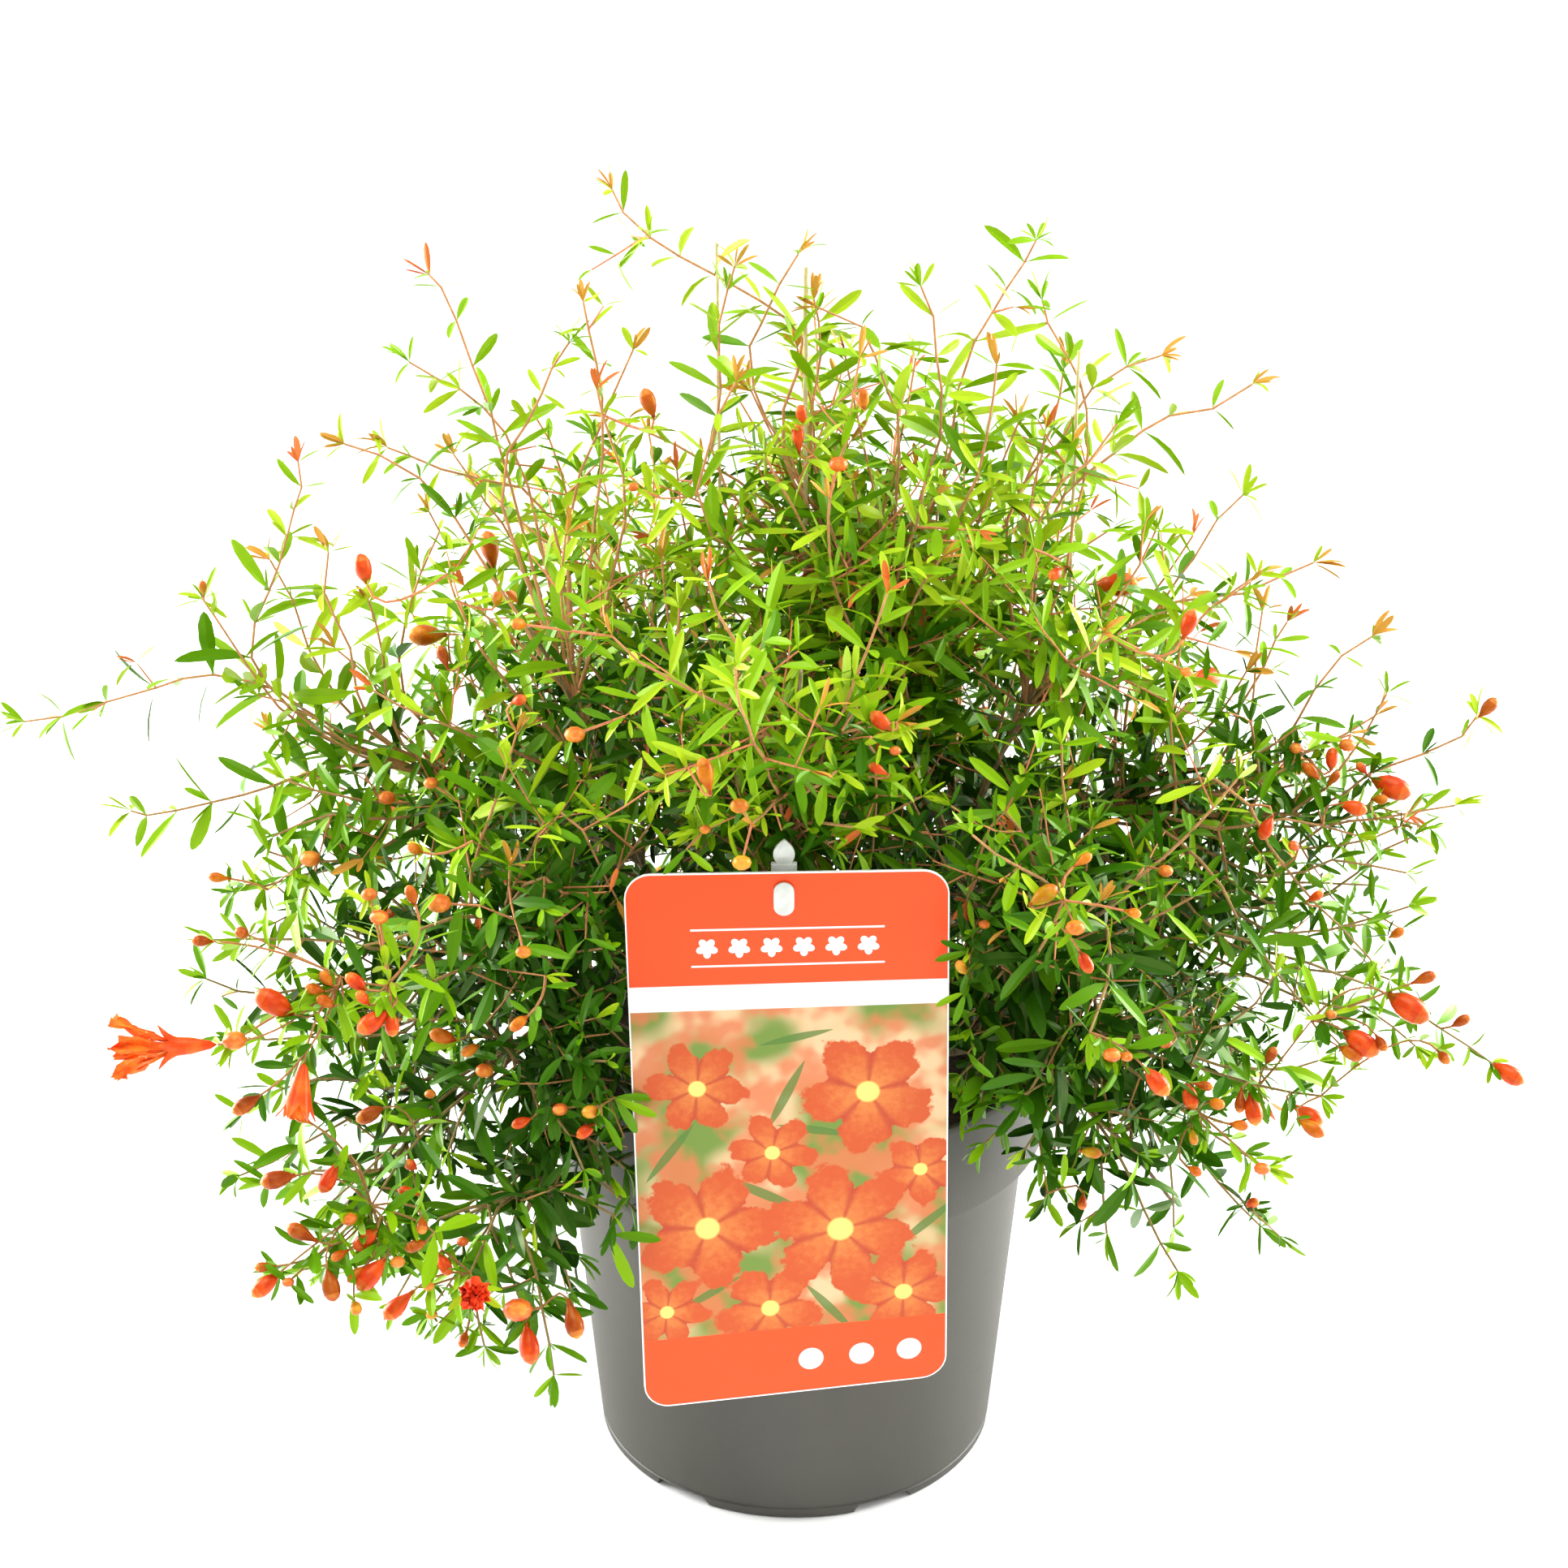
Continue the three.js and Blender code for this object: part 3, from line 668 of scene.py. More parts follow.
def card_place(x, z, depth):
    """A point of the card: the lower left corner stands forwards, the lower right one lies back."""
    down = 0.5 - z / CARD["height"]
    turn = math.radians(CARD["roll"])
    return mm(
        CARD["centre_x"] + x * math.cos(turn) - z * math.sin(turn),
        CARD["face_y"] + CARD["twist"] * x / (CARD["width"] / 2) * down + depth,
        CARD["centre_z"] + z * math.cos(turn) + x * math.sin(turn),
    )


def card_half_width(z):
    into_corner = max(0, abs(z) - (CARD["height"] / 2 - CARD["corner"]))
    return CARD["width"] / 2 - CARD["corner"] + math.sqrt(max(0, CARD["corner"] ** 2 - into_corner**2))


def card_rows():
    """Heights of the card's rows, close together in the rounded corners."""
    half, corner = CARD["height"] / 2, CARD["corner"]
    turns = [math.radians(angle) for angle in (0, 15, 30, 45, 60, 75, 90)]
    ends = [half - corner * (1 - math.sin(turn)) for turn in turns]
    middle = [ends[0] * (2 * i / 24 - 1) for i in range(1, 24)]
    return [-z for z in reversed(ends)] + middle + ends


def oval_plate(bm, width, height, thickness, matrix):
    """An upright oval plate with its faces to the front and back."""
    start = len(bm.verts)
    ring = bmesh.ops.create_circle(bm, cap_ends=True, segments=32, radius=width / 2 * MM)["verts"]
    straight = (height - width) / 2 * MM
    for vert in ring:
        vert.co.y += math.copysign(straight, vert.co.y) if abs(vert.co.y) > 1e-7 else 0
    faces = [face for face in bm.faces if all(vert in ring for vert in face.verts)]
    grown = bmesh.ops.extrude_face_region(bm, geom=faces)["geom"]
    top = [item for item in grown if isinstance(item, bmesh.types.BMVert)]
    bmesh.ops.translate(bm, vec=(0, 0, thickness * MM), verts=top)
    bm.verts.ensure_lookup_table()
    made = bm.verts[start:]
    bmesh.ops.translate(bm, vec=(0, 0, -thickness / 2 * MM), verts=made)
    bmesh.ops.rotate(bm, cent=(0, 0, 0), matrix=Matrix.Rotation(math.pi / 2, 3, "X"), verts=made)
    bmesh.ops.transform(bm, matrix=matrix, verts=made)


def card_sheet():
    rows = card_rows()
    bm = bmesh.new()
    uv_layer = bm.loops.layers.uv.new("UVMap")
    bmesh.ops.create_grid(bm, x_segments=16, y_segments=len(rows) - 1, size=0.5)
    for face in bm.faces:
        for loop in face.loops:
            z = rows[round((loop.vert.co.y + 0.5) * (len(rows) - 1))]
            x = 2 * loop.vert.co.x * card_half_width(z)
            loop[uv_layer].uv = (x / CARD["width"] + 0.5, z / CARD["height"] + 0.5)
    for vert in bm.verts:
        z = rows[round((vert.co.y + 0.5) * (len(rows) - 1))]
        vert.co = card_place(2 * vert.co.x * card_half_width(z), z, -CARD["thickness"] / 2)
    front = set(bm.faces)
    face_out(bm)
    if sum(face.normal.y for face in bm.faces) > 0:
        bmesh.ops.reverse_faces(bm, faces=bm.faces)
    bmesh.ops.solidify(bm, geom=bm.faces[:], thickness=CARD["thickness"] * MM)
    for face in bm.faces:
        face.material_index = 0 if face.normal.y < -0.5 and face in front else 1
    face_out(bm)
    soften(bm, 40)
    return mesh_of(bm, "label_card")


def rosette(finish, x, y, centre, radius, petals, turn, ruffle=0.0):
    """How much of a flower's face covers a point, and how far out on it the point is."""
    left, up = x - centre[0], y - centre[1]
    reach = (left * left + up * up) ** 0.5 / radius
    angle = finish.node("ShaderNodeMath", {"operation": "ARCTAN2"}, {0: up, 1: left})
    lobes = abs((angle * (petals / 2) + turn).cosine())
    return (reach / (0.62 + 0.42 * lobes + ruffle)).ramp(1.03, 0.95), reach, lobes


def garland(finish, x, y):
    """A row of small round flowers between two thin rules, as a mask."""
    near = GARLAND["height"]
    local = finish.node("ShaderNodeMath", {"operation": "WRAP"}, {0: x, 1: GARLAND["pitch"], 2: 0.0})
    flowers, _, _ = rosette(finish, local, y, (GARLAND["pitch"] / 2, near), GARLAND["radius"], 5, 0.8)
    above = abs(abs(y - near) - GARLAND["rules"])
    rules = above.ramp(GARLAND["line"], GARLAND["line"] - 0.2)
    within = abs(x - CARD["width"] / 2).ramp(GARLAND["half_length"] + 0.1, GARLAND["half_length"] - 0.1)
    return flowers.most(rules) * within


def leaf_mask(x, y, centre, length, width, turn):
    """How much of a slim pointed leaf covers a point."""
    c, s = math.cos(turn), math.sin(turn)
    left, up = x - centre[0], y - centre[1]
    lengthways = (left * c + up * s) / length
    sideways = (up * c - left * s) / width
    return (lengthways * lengthways + abs(sideways) * 2).ramp(1.03, 0.96)


def card_print(settings):
    """Orange header, white stripe, a garden pattern of round flowers, and an orange footer."""
    finish = Finish("printed_card", roughness=0.36, specular_ior_level=0.3)
    uv = finish.uv()
    u, v, _ = finish.parts(uv)
    x, y = u * CARD["width"], v * CARD["height"]
    flat = finish.stretched(uv, (CARD["width"], CARD["height"], 1))
    blur = finish.grain(flat, 0.035, 1.5, 0.4)
    wash = finish.grain(flat, 0.06, 2, 0.5)
    stripe = CARD["height"] - HEADER_DEPTH
    low = y.ramp(stripe, FOOTER_DEPTH)
    picture = finish.blend((blur - 0.08 * low).ramp(0.40, 0.58), settings.meadow, settings.haze)
    picture = finish.blend((wash + 0.06 * low).ramp(0.44, 0.62) * 0.85, picture, settings.blush)
    for centre, length, width, turn in PRINT_LEAVES:
        mask = leaf_mask(x, y, centre, length, width, turn)
        picture = finish.blend(mask * 0.85, picture, settings.print_leaf)
    streaks = finish.grain(flat, 0.35, 4, 0.65)
    ruffle = (finish.grain(flat, 0.13, 3, 0.6) - 0.5) * 0.7
    for centre, radius, petals, turn in PRINT_FLOWERS:
        mask, reach, lobes = rosette(finish, x, y, centre, radius, petals, turn, ruffle)
        streaked = (reach * 0.7 + streaks * 0.8).ramp(0.35, 1.05)
        petal = finish.blend(streaked, settings.bloom_light, settings.bloom)
        petal = finish.blend((1 - lobes).ramp(0.45, 1.0) * 0.7, petal, settings.bloom_dark)
        petal = finish.blend(reach.ramp(0.2, 0.14), petal, settings.bloom_heart)
        picture = finish.blend(mask, picture, petal)
    footer = y.ramp(FOOTER_DEPTH + 0.4, FOOTER_DEPTH)
    face = finish.blend(footer, picture, settings.header)
    for dot in FOOTER_DOTS:
        left, up = x - dot, y - FOOTER_DEPTH / 2
        spot = ((left * left + up * up) ** 0.5).ramp(DOT_RADIUS + 0.2, DOT_RADIUS - 0.2)
        face = finish.blend(spot, face, settings.white)
    below = y.ramp(stripe - STRIPE_DEPTH - 0.2, stripe - STRIPE_DEPTH + 0.2)
    face = finish.blend(below, face, settings.white)
    face = finish.blend(y.ramp(stripe - 0.2, stripe + 0.2), face, settings.header)
    face = finish.blend(garland(finish, x, y), face, settings.white)
    half_x, half_y = CARD["width"] / 2, CARD["height"] / 2
    inner = CARD["corner"]
    corner_x = (abs(x - half_x) - (half_x - inner)).most(0)
    corner_y = (abs(y - half_y) - (half_y - inner)).most(0)
    edge = (corner_x * corner_x + corner_y * corner_y) ** 0.5
    face = finish.blend(edge.ramp(inner - 0.6, inner - 0.4), face, settings.white)
    finish.set(base_color=face)
    finish.relief(finish.grain(flat, 1.5, 2, 0.5), 0.00004, 0.3)
    return finish


# The print's flowers and leaves: middle, size, and petals or width, and turn, in millimetres and radians.
PRINT_FLOWERS = (
    ((22, 124), 17, 6, 0.3),
    ((80, 120), 23, 5, 1.0),
    ((47, 98), 15, 6, 0.6),
    ((9, 38), 14, 6, 0.4),
    ((24, 70), 24, 5, 0.2),
    ((98, 88), 14, 5, 0.5),
    ((45, 36), 18, 5, 0.8),
    ((92, 38), 18, 6, 0.1),
    ((70, 66), 26, 6, 0.9),
)
PRINT_LEAVES = (
    ((52, 120), 15, 3.4, 1.1),
    ((44, 82), 17, 3.6, -0.5),
    ((100, 66), 15, 3.4, 0.7),
    ((12, 100), 14, 3.2, 0.9),
    ((56, 142), 13, 2.8, 0.2),
    ((66, 34), 14, 3.2, -0.9),
    ((24, 44), 13, 3, 0.5),
    ((62, 106), 14, 3, -0.2),
)
FOOTER_DOTS = (59, 77, 94)
DOT_RADIUS = 4.4
# The row of flowers in the header, with the distance of its two rules from it and their half thickness.
GARLAND = {"height": 176, "pitch": 10.75, "radius": 3.6, "rules": 6.6, "line": 0.45, "half_length": 32.25}


def board_finish(settings):
    finish = Finish("plain_card", roughness=0.45)
    tone = finish.grain(finish.place(), 300, 3, 0.6)
    finish.set(base_color=finish.blend(tone, shaded(settings.white, 0.93), settings.white))
    finish.relief(tone, 0.00003, 0.4)
    return finish


def stake_y(z):
    share = (z - STAKE["foot_z"]) / (STAKE["top_z"] - STAKE["foot_z"])
    return mix(STAKE["foot_y"], STAKE["top_y"], share)


def stake_plate(bm, outline, thickness):
    """A plate of an (x, z) outline that leans with the stake; make_stake rounds its edges later."""
    corners = [bm.verts.new(mm(STAKE["x"] + x, stake_y(z) - thickness / 2, z)) for x, z in outline]
    face = bm.faces.new(corners)
    grown = bmesh.ops.extrude_face_region(bm, geom=[face])["geom"]
    back = [item for item in grown if isinstance(item, bmesh.types.BMVert)]
    bmesh.ops.translate(bm, vec=(0, thickness * MM, 0), verts=back)


def spade_outline(base):
    """The stake's pointed head, like a small spade, from its base up and round."""
    width, height = STAKE["spade"]
    shares = ((0.25, 0), (0.7, 0.35), (0.42, 0.75))
    handles = [Vector((width * x, height * y, 0)) for x, y in shares] + [Vector((0.05, height, 0))]
    curve = [bend(handles, i / 10) for i in range(11)]
    right = [(point.x, base + point.y) for point in curve]
    return right + [(-x, z) for x, z in reversed(right)]


def stake_finish(settings):
    finish = Finish("milky_plastic", roughness=0.28, ior=1.46, coat_weight=0.2)
    tone = finish.grain(finish.place(), 220, 3, 0.5)
    shade = shaded(settings.stake, 0.82)
    finish.set(base_color=finish.blend(tone.ramp(0.35, 0.65), shade, settings.stake))
    finish.relief(tone, 0.00008, 0.4)
    return finish


# ------------------------------------------------------------------ growth

TRUNK = {
    "flare": 11,
    "waist": 7.6,
    "fork": 5.6,
    "flare_height": 8,
    "height": 24,
    "lean": (2.5, -1.5),
}
BOUGHS = {
    "low": {"azimuths": (-50, 40, 128, 212), "root": 5, "out": 96, "z": 196},
    "high": {"azimuths": (-96, 4, 172), "root": 13, "out": 62, "z": 236},
}
HEART = mm(0, 0, 236)
# How far leaves may stand proud of the frame's box.
PROUD = 14 * MM
# How far leaves and twigs keep off the pot, the card and the stake, in millimetres.
POT_CLEARANCE = 3.5
RIM_CLEARANCE = 2
BAND_CLEARANCE = 4
CARD_SIDE = 1.5
CARD_CLEARANCE = 2.5
STAKE_CLEARANCE = 6.5
# The free space over the label: where it starts, as y and z in millimetres, and how it rises forwards.
LABEL_TOP = (-91.6, 285)
LABEL_SLOPE = 0.445
GREENS = ("deep", "dark", "mid", "fresh", "lime")
TINTS = (*GREENS, "bronze", "rust")
BUD_SKINS = ("red", "orange", "brown", "yellow")


def trunk_foot():
    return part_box("trunk")[0].z / MM


def trunk_axis(z):
    up = (z - trunk_foot()) / TRUNK["height"]
    return mm(TRUNK["lean"][0] * up, TRUNK["lean"][1] * up, z)


def bough_curves():
    """The handles of each bough's curve, from the stump to where it enters the foliage."""
    curves = []
    for spec in BOUGHS.values():
        level = trunk_axis(trunk_foot() + spec["root"])
        for azimuth in spec["azimuths"]:
            rise = (spec["z"] - level.z / MM) * 0.3
            root = level + polar(azimuth, 2, 0)
            knee = level + polar(azimuth, spec["out"] * 0.5, rise)
            curves.append([root, knee, polar(azimuth, spec["out"], spec["z"])])
    fork = trunk_axis(trunk_foot() + TRUNK["height"])
    tip = mm(fork.x / MM + 5, fork.y / MM + 3, 222)
    curves.append([fork - UP * 2 * MM, fork.lerp(tip, 0.5) + mm(2.5, 0, 0), tip])
    return curves


def clear(point):
    """Whether a point is near enough, and free of the pot, the soil and the space in front of the label."""
    if any(not low - PROUD < value < high + PROUD for low, value, high in zip(FRAME_LOW, point, FRAME_HIGH)):
        return False
    x, y, z = point / MM
    out = math.hypot(x, y)
    if z < POT["height"] + RIM_CLEARANCE:
        if out < POT["rim"] - POT["rim_wall"] - RIM_CLEARANCE:
            return z > soil_height(min(out, SOIL["radius"])) + RIM_CLEARANCE
        wall = POT["rim"] if z > POT["height"] - POT["band"] - BAND_CLEARANCE else pot_wall(max(z, 0))
        if out < wall + POT_CLEARANCE:
            return False
    beside = abs(x - CARD["centre_x"]) > CARD["width"] / 2 + CARD_SIDE
    roof = LABEL_TOP[1] + LABEL_SLOPE * max(0, LABEL_TOP[0] - y)
    return beside or z > roof or behind_label(x, y, z)


def behind_label(x, y, z):
    """Whether a point lies behind the card and off its stake."""
    down = 0.5 - (z - CARD["centre_z"]) / CARD["height"]
    card_y = CARD["face_y"] + CARD["twist"] * (x - CARD["centre_x"]) / (CARD["width"] / 2) * down
    off_stake = abs(x - STAKE["x"]) > STAKE_CLEARANCE or y > stake_y(z) + STAKE_CLEARANCE
    return y > card_y + CARD_CLEARANCE and off_stake


class Crown:
    """The shape that the shrub fills, read from the foliage masses of the frame."""

    def __init__(self):
        self.trees = {}
        self.faces = {}
        points, polygons = [], []
        for name in CROWN + SKIRTS:
            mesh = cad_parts[name].data
            corners = [vert.co.copy() for vert in mesh.vertices]
            faces = [tuple(face.vertices) for face in mesh.polygons]
            self.trees[name] = BVHTree.FromPolygons(corners, faces)
            self.faces[name] = [
                (face.normal.copy(), face.area, [corners[i] for i in face.vertices]) for face in mesh.polygons
            ]
            polygons += [tuple(i + len(points) for i in face) for face in faces]
            points += corners
        self.whole = BVHTree.FromPolygons(points, polygons)

    def depth(self, point):
        """How far inside the crown's outline a point is, on the line from its heart."""
        out = point - HEART
        if out.length < 1e-6:
            return 0.2
        direction = out.normalized()
        hit = self.whole.ray_cast(HEART + direction * 0.6, -direction, 0.6)[0]
        reach = (hit - HEART).length if hit else 0.06
        return reach - out.length

    def targets(self, name, spacing, rng, taken):
        """Points spread over a mass where it faces open air, each with its outward normal."""
        faces = self.faces[name]
        found = []
        weights = [area for _, area, _ in faces]
        tries = int(14 * sum(weights) / (spacing * MM) ** 2) + 20
        for normal, _, corners in rng.choices(faces, weights, k=tries):
            a, b = sorted((rng.random(), rng.random()))
            point = corners[0] * a + corners[1] * (b - a) + corners[2] * (1 - b)
            if normal.z < -0.55 and rng.random() > 0.35:
                continue
            nearest = min(tree.find_nearest(point)[3] for other, tree in self.trees.items() if other != name)
            if nearest < 5 * MM:
                continue
            if all((point - other).length > spacing * MM for other in taken):
                taken.append(point)
                found.append((point, normal))
        return found


class Shrub:
    """What has grown so far: limbs by kind, leaves by tint, and the tips that can carry a bud."""

    def __init__(self, settings):
        self.rng = random.Random(settings.seed)
        self.settings = settings
        self.crown = Crown()
        self.limbs = {"stem": [], "branch": [], "twig": [], "pruned": []}
        self.leaves = {tint: [] for tint in TINTS}
        self.buds = {skin: [] for skin in BUD_SKINS}
        self.flowers = []
        self.tips = []
        self.grow_frame()
        self.grow_crown()
        self.grow_shoots()
        self.grow_outline()
        self.grow_pruned()
        self.gather_perches()
        self.grow_over_label()
        self.grow_seen_buds()
        self.grow_hidden_buds()

    def wander(self, amount):
        """A random vector that bends a direction or moves a point."""
        return Vector([self.rng.gauss(0, amount) for _ in range(3)])

    def fullness(self, point):
        """How thick the growth is: thick inside and low down, thin towards the top and the sides."""
        rise = portion(point.z / MM, THIN_FROM, THIN_TO)
        margin = mix(LOW_MARGIN, HIGH_MARGIN, rise) * MM
        return mix(THINNEST, 1.0, portion(self.crown.depth(point), 0, margin))

    # -- colour

    def tint(self, point, youth=0.0):
        """A spray's green: deep inside and low down, fresh outside and high up."""
        # Darker deep in the crown and low down, lighter outside and high up: partly the leaves' age, partly
        # painted shade and painted light.
        outer = 1 - portion(self.crown.depth(point), 0, SHADE_DEPTH)
        rise = portion(point.z, SHADE_FROM, SHADE_TO)
        light = mix(TINT["low"] * outer, TINT["high"] + TINT["outside"] * outer, eased(rise))
        # Youth lightens a spray; the x term is painted shade, darker towards the right.
        light += mix(*TINT["youth"], rise) * youth - TINT["right"] * point.x
        light += self.rng.gauss(0, mix(*TINT["spread"], rise))
        return GREENS[max(0, min(int(light * TINT_STEPS), len(GREENS) - 1))]

    def thinness(self, point):
        """How fine the growth is: fine high up on the left and out to the right, where leaves stay small."""
        high = portion(point.z, FINE_FROM, FINE_TO)
        left = portion(-point.x, 0, FINE_WIDTH)
        right = portion(point.x - FINE_RIGHT, 0, FINE_WIDTH)
        return max(high * left, right)

    # -- leaves

    def leaf(self, place, direction, twig, length, tint):
        """One leaf, about level or turned on edge."""
        rng = self.rng
        tip = place + direction * length * MM
        if not clear(tip) or not clear(place):
            return
        facing = UP * 0.8 + twig * 0.3 + self.wander(0.5)
        rise = portion(place.z, SHADE_FROM, SHADE_TO)
        width = length * rng.uniform(*LEAF_WIDTHS) * mix(BROAD, 1.0, rise)
        shape = rng.randrange(len(LEAF_BENDS))
        self.leaves[tint].append((shape, standing(place, direction, facing, width * MM, length * MM)))

    def pair(self, place, twig, side, length, tint, count=2):
        """Opposite leaves at a node, and smaller ones beside them where it carries a tuft."""
        rng = self.rng
        for i in range(count):
            extra = i > 1
            turn = Matrix.Rotation(math.pi * i + rng.gauss(0, 0.3) + (1.1 if extra else 0), 3, twig)
            lean = math.radians(rng.uniform(*(TUFT_LEAN if extra else PAIR_LEAN)))
            direction = twig * math.cos(lean) + turn @ side * math.sin(lean) + UP * rng.gauss(-0.02, 0.16)
            size = length * rng.uniform(*LEAF_SIZES) * (TUFT_SIZE if extra else 1)
            self.leaf(place, direction.normalized(), twig, size, tint)

    def young_tip(self, point, end, count):
        """Small narrow leaves at a growing tip; many high up are bronze or rust."""
        rng = self.rng
        high = portion(point.z - YOUNG_FROM, 0, YOUNG_RISE)
        warm = rng.random() < 0.04 + 0.75 * high
        young = ("fresh", "lime") if rng.random() < high + 0.4 else ("mid", "fresh")
        tint = rng.choice(("bronze", "bronze", "rust") if warm else young)
        for _ in range(count):
            self.leaf(point, (end + self.wander(0.35)).normalized(), end, rng.uniform(*TIP_LEAVES), tint)

    # -- twigs

    def walk(self, place, direction, length, step, lift):
        """Points of a young twig: nearly straight, turning a little up or down as it goes."""
        rng = self.rng
        points = [place.copy()]
        gone = 0.0
        while gone < length:
            stride = step * rng.uniform(*TWIG_STRIDES)
            wander = Vector([rng.gauss(0, amount) for amount in TWIG_WANDER])
            direction = (direction + UP * lift + wander).normalized()
            place = place + direction * stride * MM
            if not clear(place):
                break
            points.append(place)
            gone += stride
        return points

    def side_twig(self, place, parent, side, length, order, lift, youth):
        """A side twig with leaves at every node, and short ones of its own."""
        rng = self.rng
        settings = self.settings
        lean = math.radians(rng.uniform(*TWIG_LEAN))
        direction = (parent * math.cos(lean) + side * math.sin(lean)).normalized()
        points = self.walk(place, direction, length, settings.internode * TWIG_INTERNODE / MM, lift)
        if len(points) < 2:
            return
        count = len(points)
        self.limbs["twig"].append((points, taper(count, TWIG_BASE[order], TWIG_TIP)))
        tint = self.tint(points[-1], youth)
        turn = rng.uniform(0, math.pi)
        for i in range(1, count):
            twig, out = node_at(points, i, turn + math.pi / 2 * i)
            share = i / (count - 1)
            fine = self.thinness(points[i])
            size = settings.leaf_length / MM * mix(1.0, TWIG_LAST_LEAF, share**2) * rng.uniform(*LEAF_SIZES)
            size *= mix(1.0, FINE_LEAF, fine)
            self.pair(points[i], twig, out, size, tint, 4 if rng.random() < mix(*TWIG_TUFTS, fine) else 2)
            if order == 2 and i < count - 1 and rng.random() < TWIGLET_CHANCE:
                self.side_twig(points[i], twig, out, rng.uniform(*TWIGLET), 3, lift, youth)
        end = (points[-1] - points[-2]).normalized()
        if rng.random() < TIP_CHANCE:
            self.young_tip(points[-1], end, 2)
        self.tips.append((points[-1], end))

    def leader(self, points, leafy, side_length, openness, droop=False):
        """A long shoot along a curve: bare inside the crown, leafy and branched further out."""
        rng = self.rng
        settings = self.settings
        kept = [points[0]]
        for point in points[1:]:
            moved = point + self.wander(0.35 * MM)
            if not clear(moved):
                break
            kept.append(moved)
        points = kept
        count = len(points)
        if count < 4:
            return
        self.limbs["branch"].append((points, taper(count, *BRANCH_RADII, BRANCH_TAPER)))
        length = sum((b - a).length for a, b in zip(points, points[1:])) / MM
        turn = rng.uniform(0, math.pi)
        lift = DROOP if droop else LIFT
        for i in range(1, count):
            to_tip = length * (1 - i / (count - 1))
            if to_tip > leafy:
                continue
            twig, out = node_at(points, i, turn + math.pi / 2 * i)
            youth = max(0.0, 1 - to_tip / YOUNG_END)
            tint = self.tint(points[i], youth)
            fine = self.thinness(points[i])
            size = settings.leaf_length / MM * mix(*LEADER_LEAVES, min(1.0, to_tip / LEAVES_FULL))
            size *= mix(1.0, FINE_LEAF, fine)
            tuft = rng.random() < mix(*LEADER_TUFTS, fine)
            self.pair(points[i], twig, out, size, tint, rng.choice((4, 5)) if tuft else 2)
            chance = openness * SIDE_CHANCE * self.fullness(points[i])
            for hand in (1, -1):
                if to_tip > BARE_END and rng.random() < chance:
                    reach = side_length * mix(SIDE_SHORTEST, 1.0, min(1.0, to_tip / SIDE_FULL))
                    reach *= rng.uniform(*SIDE_LENGTHS)
                    self.side_twig(points[i], twig, out * hand, reach, 2, lift, youth * 0.7)
        end = (points[-1] - points[-2]).normalized()
        self.young_tip(points[-1], end, 4)
        self.tips.append((points[-1], end))

    # -- the whole plant

    def grow_frame(self):
        """Boughs out of the stump, and arms from them to the middle of each mass."""
        self.boughs = [along_curve(handles, 4 * MM) for handles in bough_curves()]
        self.arms = {}
        for name in CROWN + SKIRTS:
            low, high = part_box(name)
            centre = (low + high) / 2
            if name in SKIRTS:
                flat = Vector((centre.x, centre.y, 0)).normalized()
                goal = centre + flat * PAST_SKIRT * MM
                knee = flat * OVER_RIM[0] * MM + UP * OVER_RIM[1] * MM
            else:
                goal = centre
                knee = None
            starts = [
                points[int(share * (len(points) - 1))] for points in self.boughs for share in ARM_STARTS
            ]
            aim = knee or goal
            start = min(starts, key=lambda point: (point - aim).length + 0.4 * abs(point.z - goal.z))
            if knee is None:
                knee = start.lerp(goal, 0.5) + UP * 0.12 * (goal - start).length
            arm = along_curve([start, knee, goal], 8 * MM)
            self.arms[name] = arm
            self.limbs["stem"].append((arm, taper(len(arm), *ARM_RADII)))

    def start_for(self, name):
        """Where a leader leaves the arm of its mass, and the way the arm runs there."""
        arm = self.arms[name]
        share = self.rng.uniform(0.15, 0.9)
        k = max(1, int(share * (len(arm) - 1)))
        return arm[k], (arm[k] - arm[k - 1]).normalized()

    def grow_crown(self):
        rng = self.rng
        taken = []
        for name in CROWN + SKIRTS:
            group = max((part for part in DENSITY if name.startswith(part)), key=len)
            spacing, full, inset, leafy, side, openness = DENSITY[group]
            low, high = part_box(name)
            spacing = spacing * (1 - LEFT_THINNER * (low.x + high.x) / 2 / (200 * MM))
            for target, normal in self.crown.targets(name, spacing, rng, taken):
                aside = portion(abs(target.x / MM), SIDE_FROM, SIDE_TO)
                rise = portion(target.z / MM, GAPS_FROM, GAPS_TO)
                if rng.random() < SIDE_GAPS * aside * rise:
                    continue
                start, heading = self.start_for(name)
                droop = name in SKIRTS
                if rng.random() > full:
                    target = target - (target - HEART).normalized() * inset * rng.random() * MM
                reach = (target - start).length
                pull = UP * (-0.35 if droop else 0.45)
                end = normal * 0.7 + (target - start).normalized() * 0.7 + pull + self.wander(0.23)
                end = end.normalized()
                tip = target + end * rng.uniform(-8, 9) * MM
                first = start + (heading + (tip - start).normalized()).normalized() * reach * 0.33
                second = tip - end * reach * 0.36
                if droop:
                    first.z = max(first.z, 0.182)
                points = along_curve([start, first, second, tip], self.settings.internode)
                self.leader(points, leafy, side, openness, droop)

    def shoot(self, places, leafy, side, openness, stride=1.0):
        """A long shoot from the arm that ends nearest its first place, through all its places."""
        arm = min(self.arms.values(), key=lambda points: (points[-1] - places[0]).length)
        start = arm[len(arm) * 2 // 3]
        points = through([start, *places], self.settings.internode * stride)
        self.leader(points, leafy, side, openness)

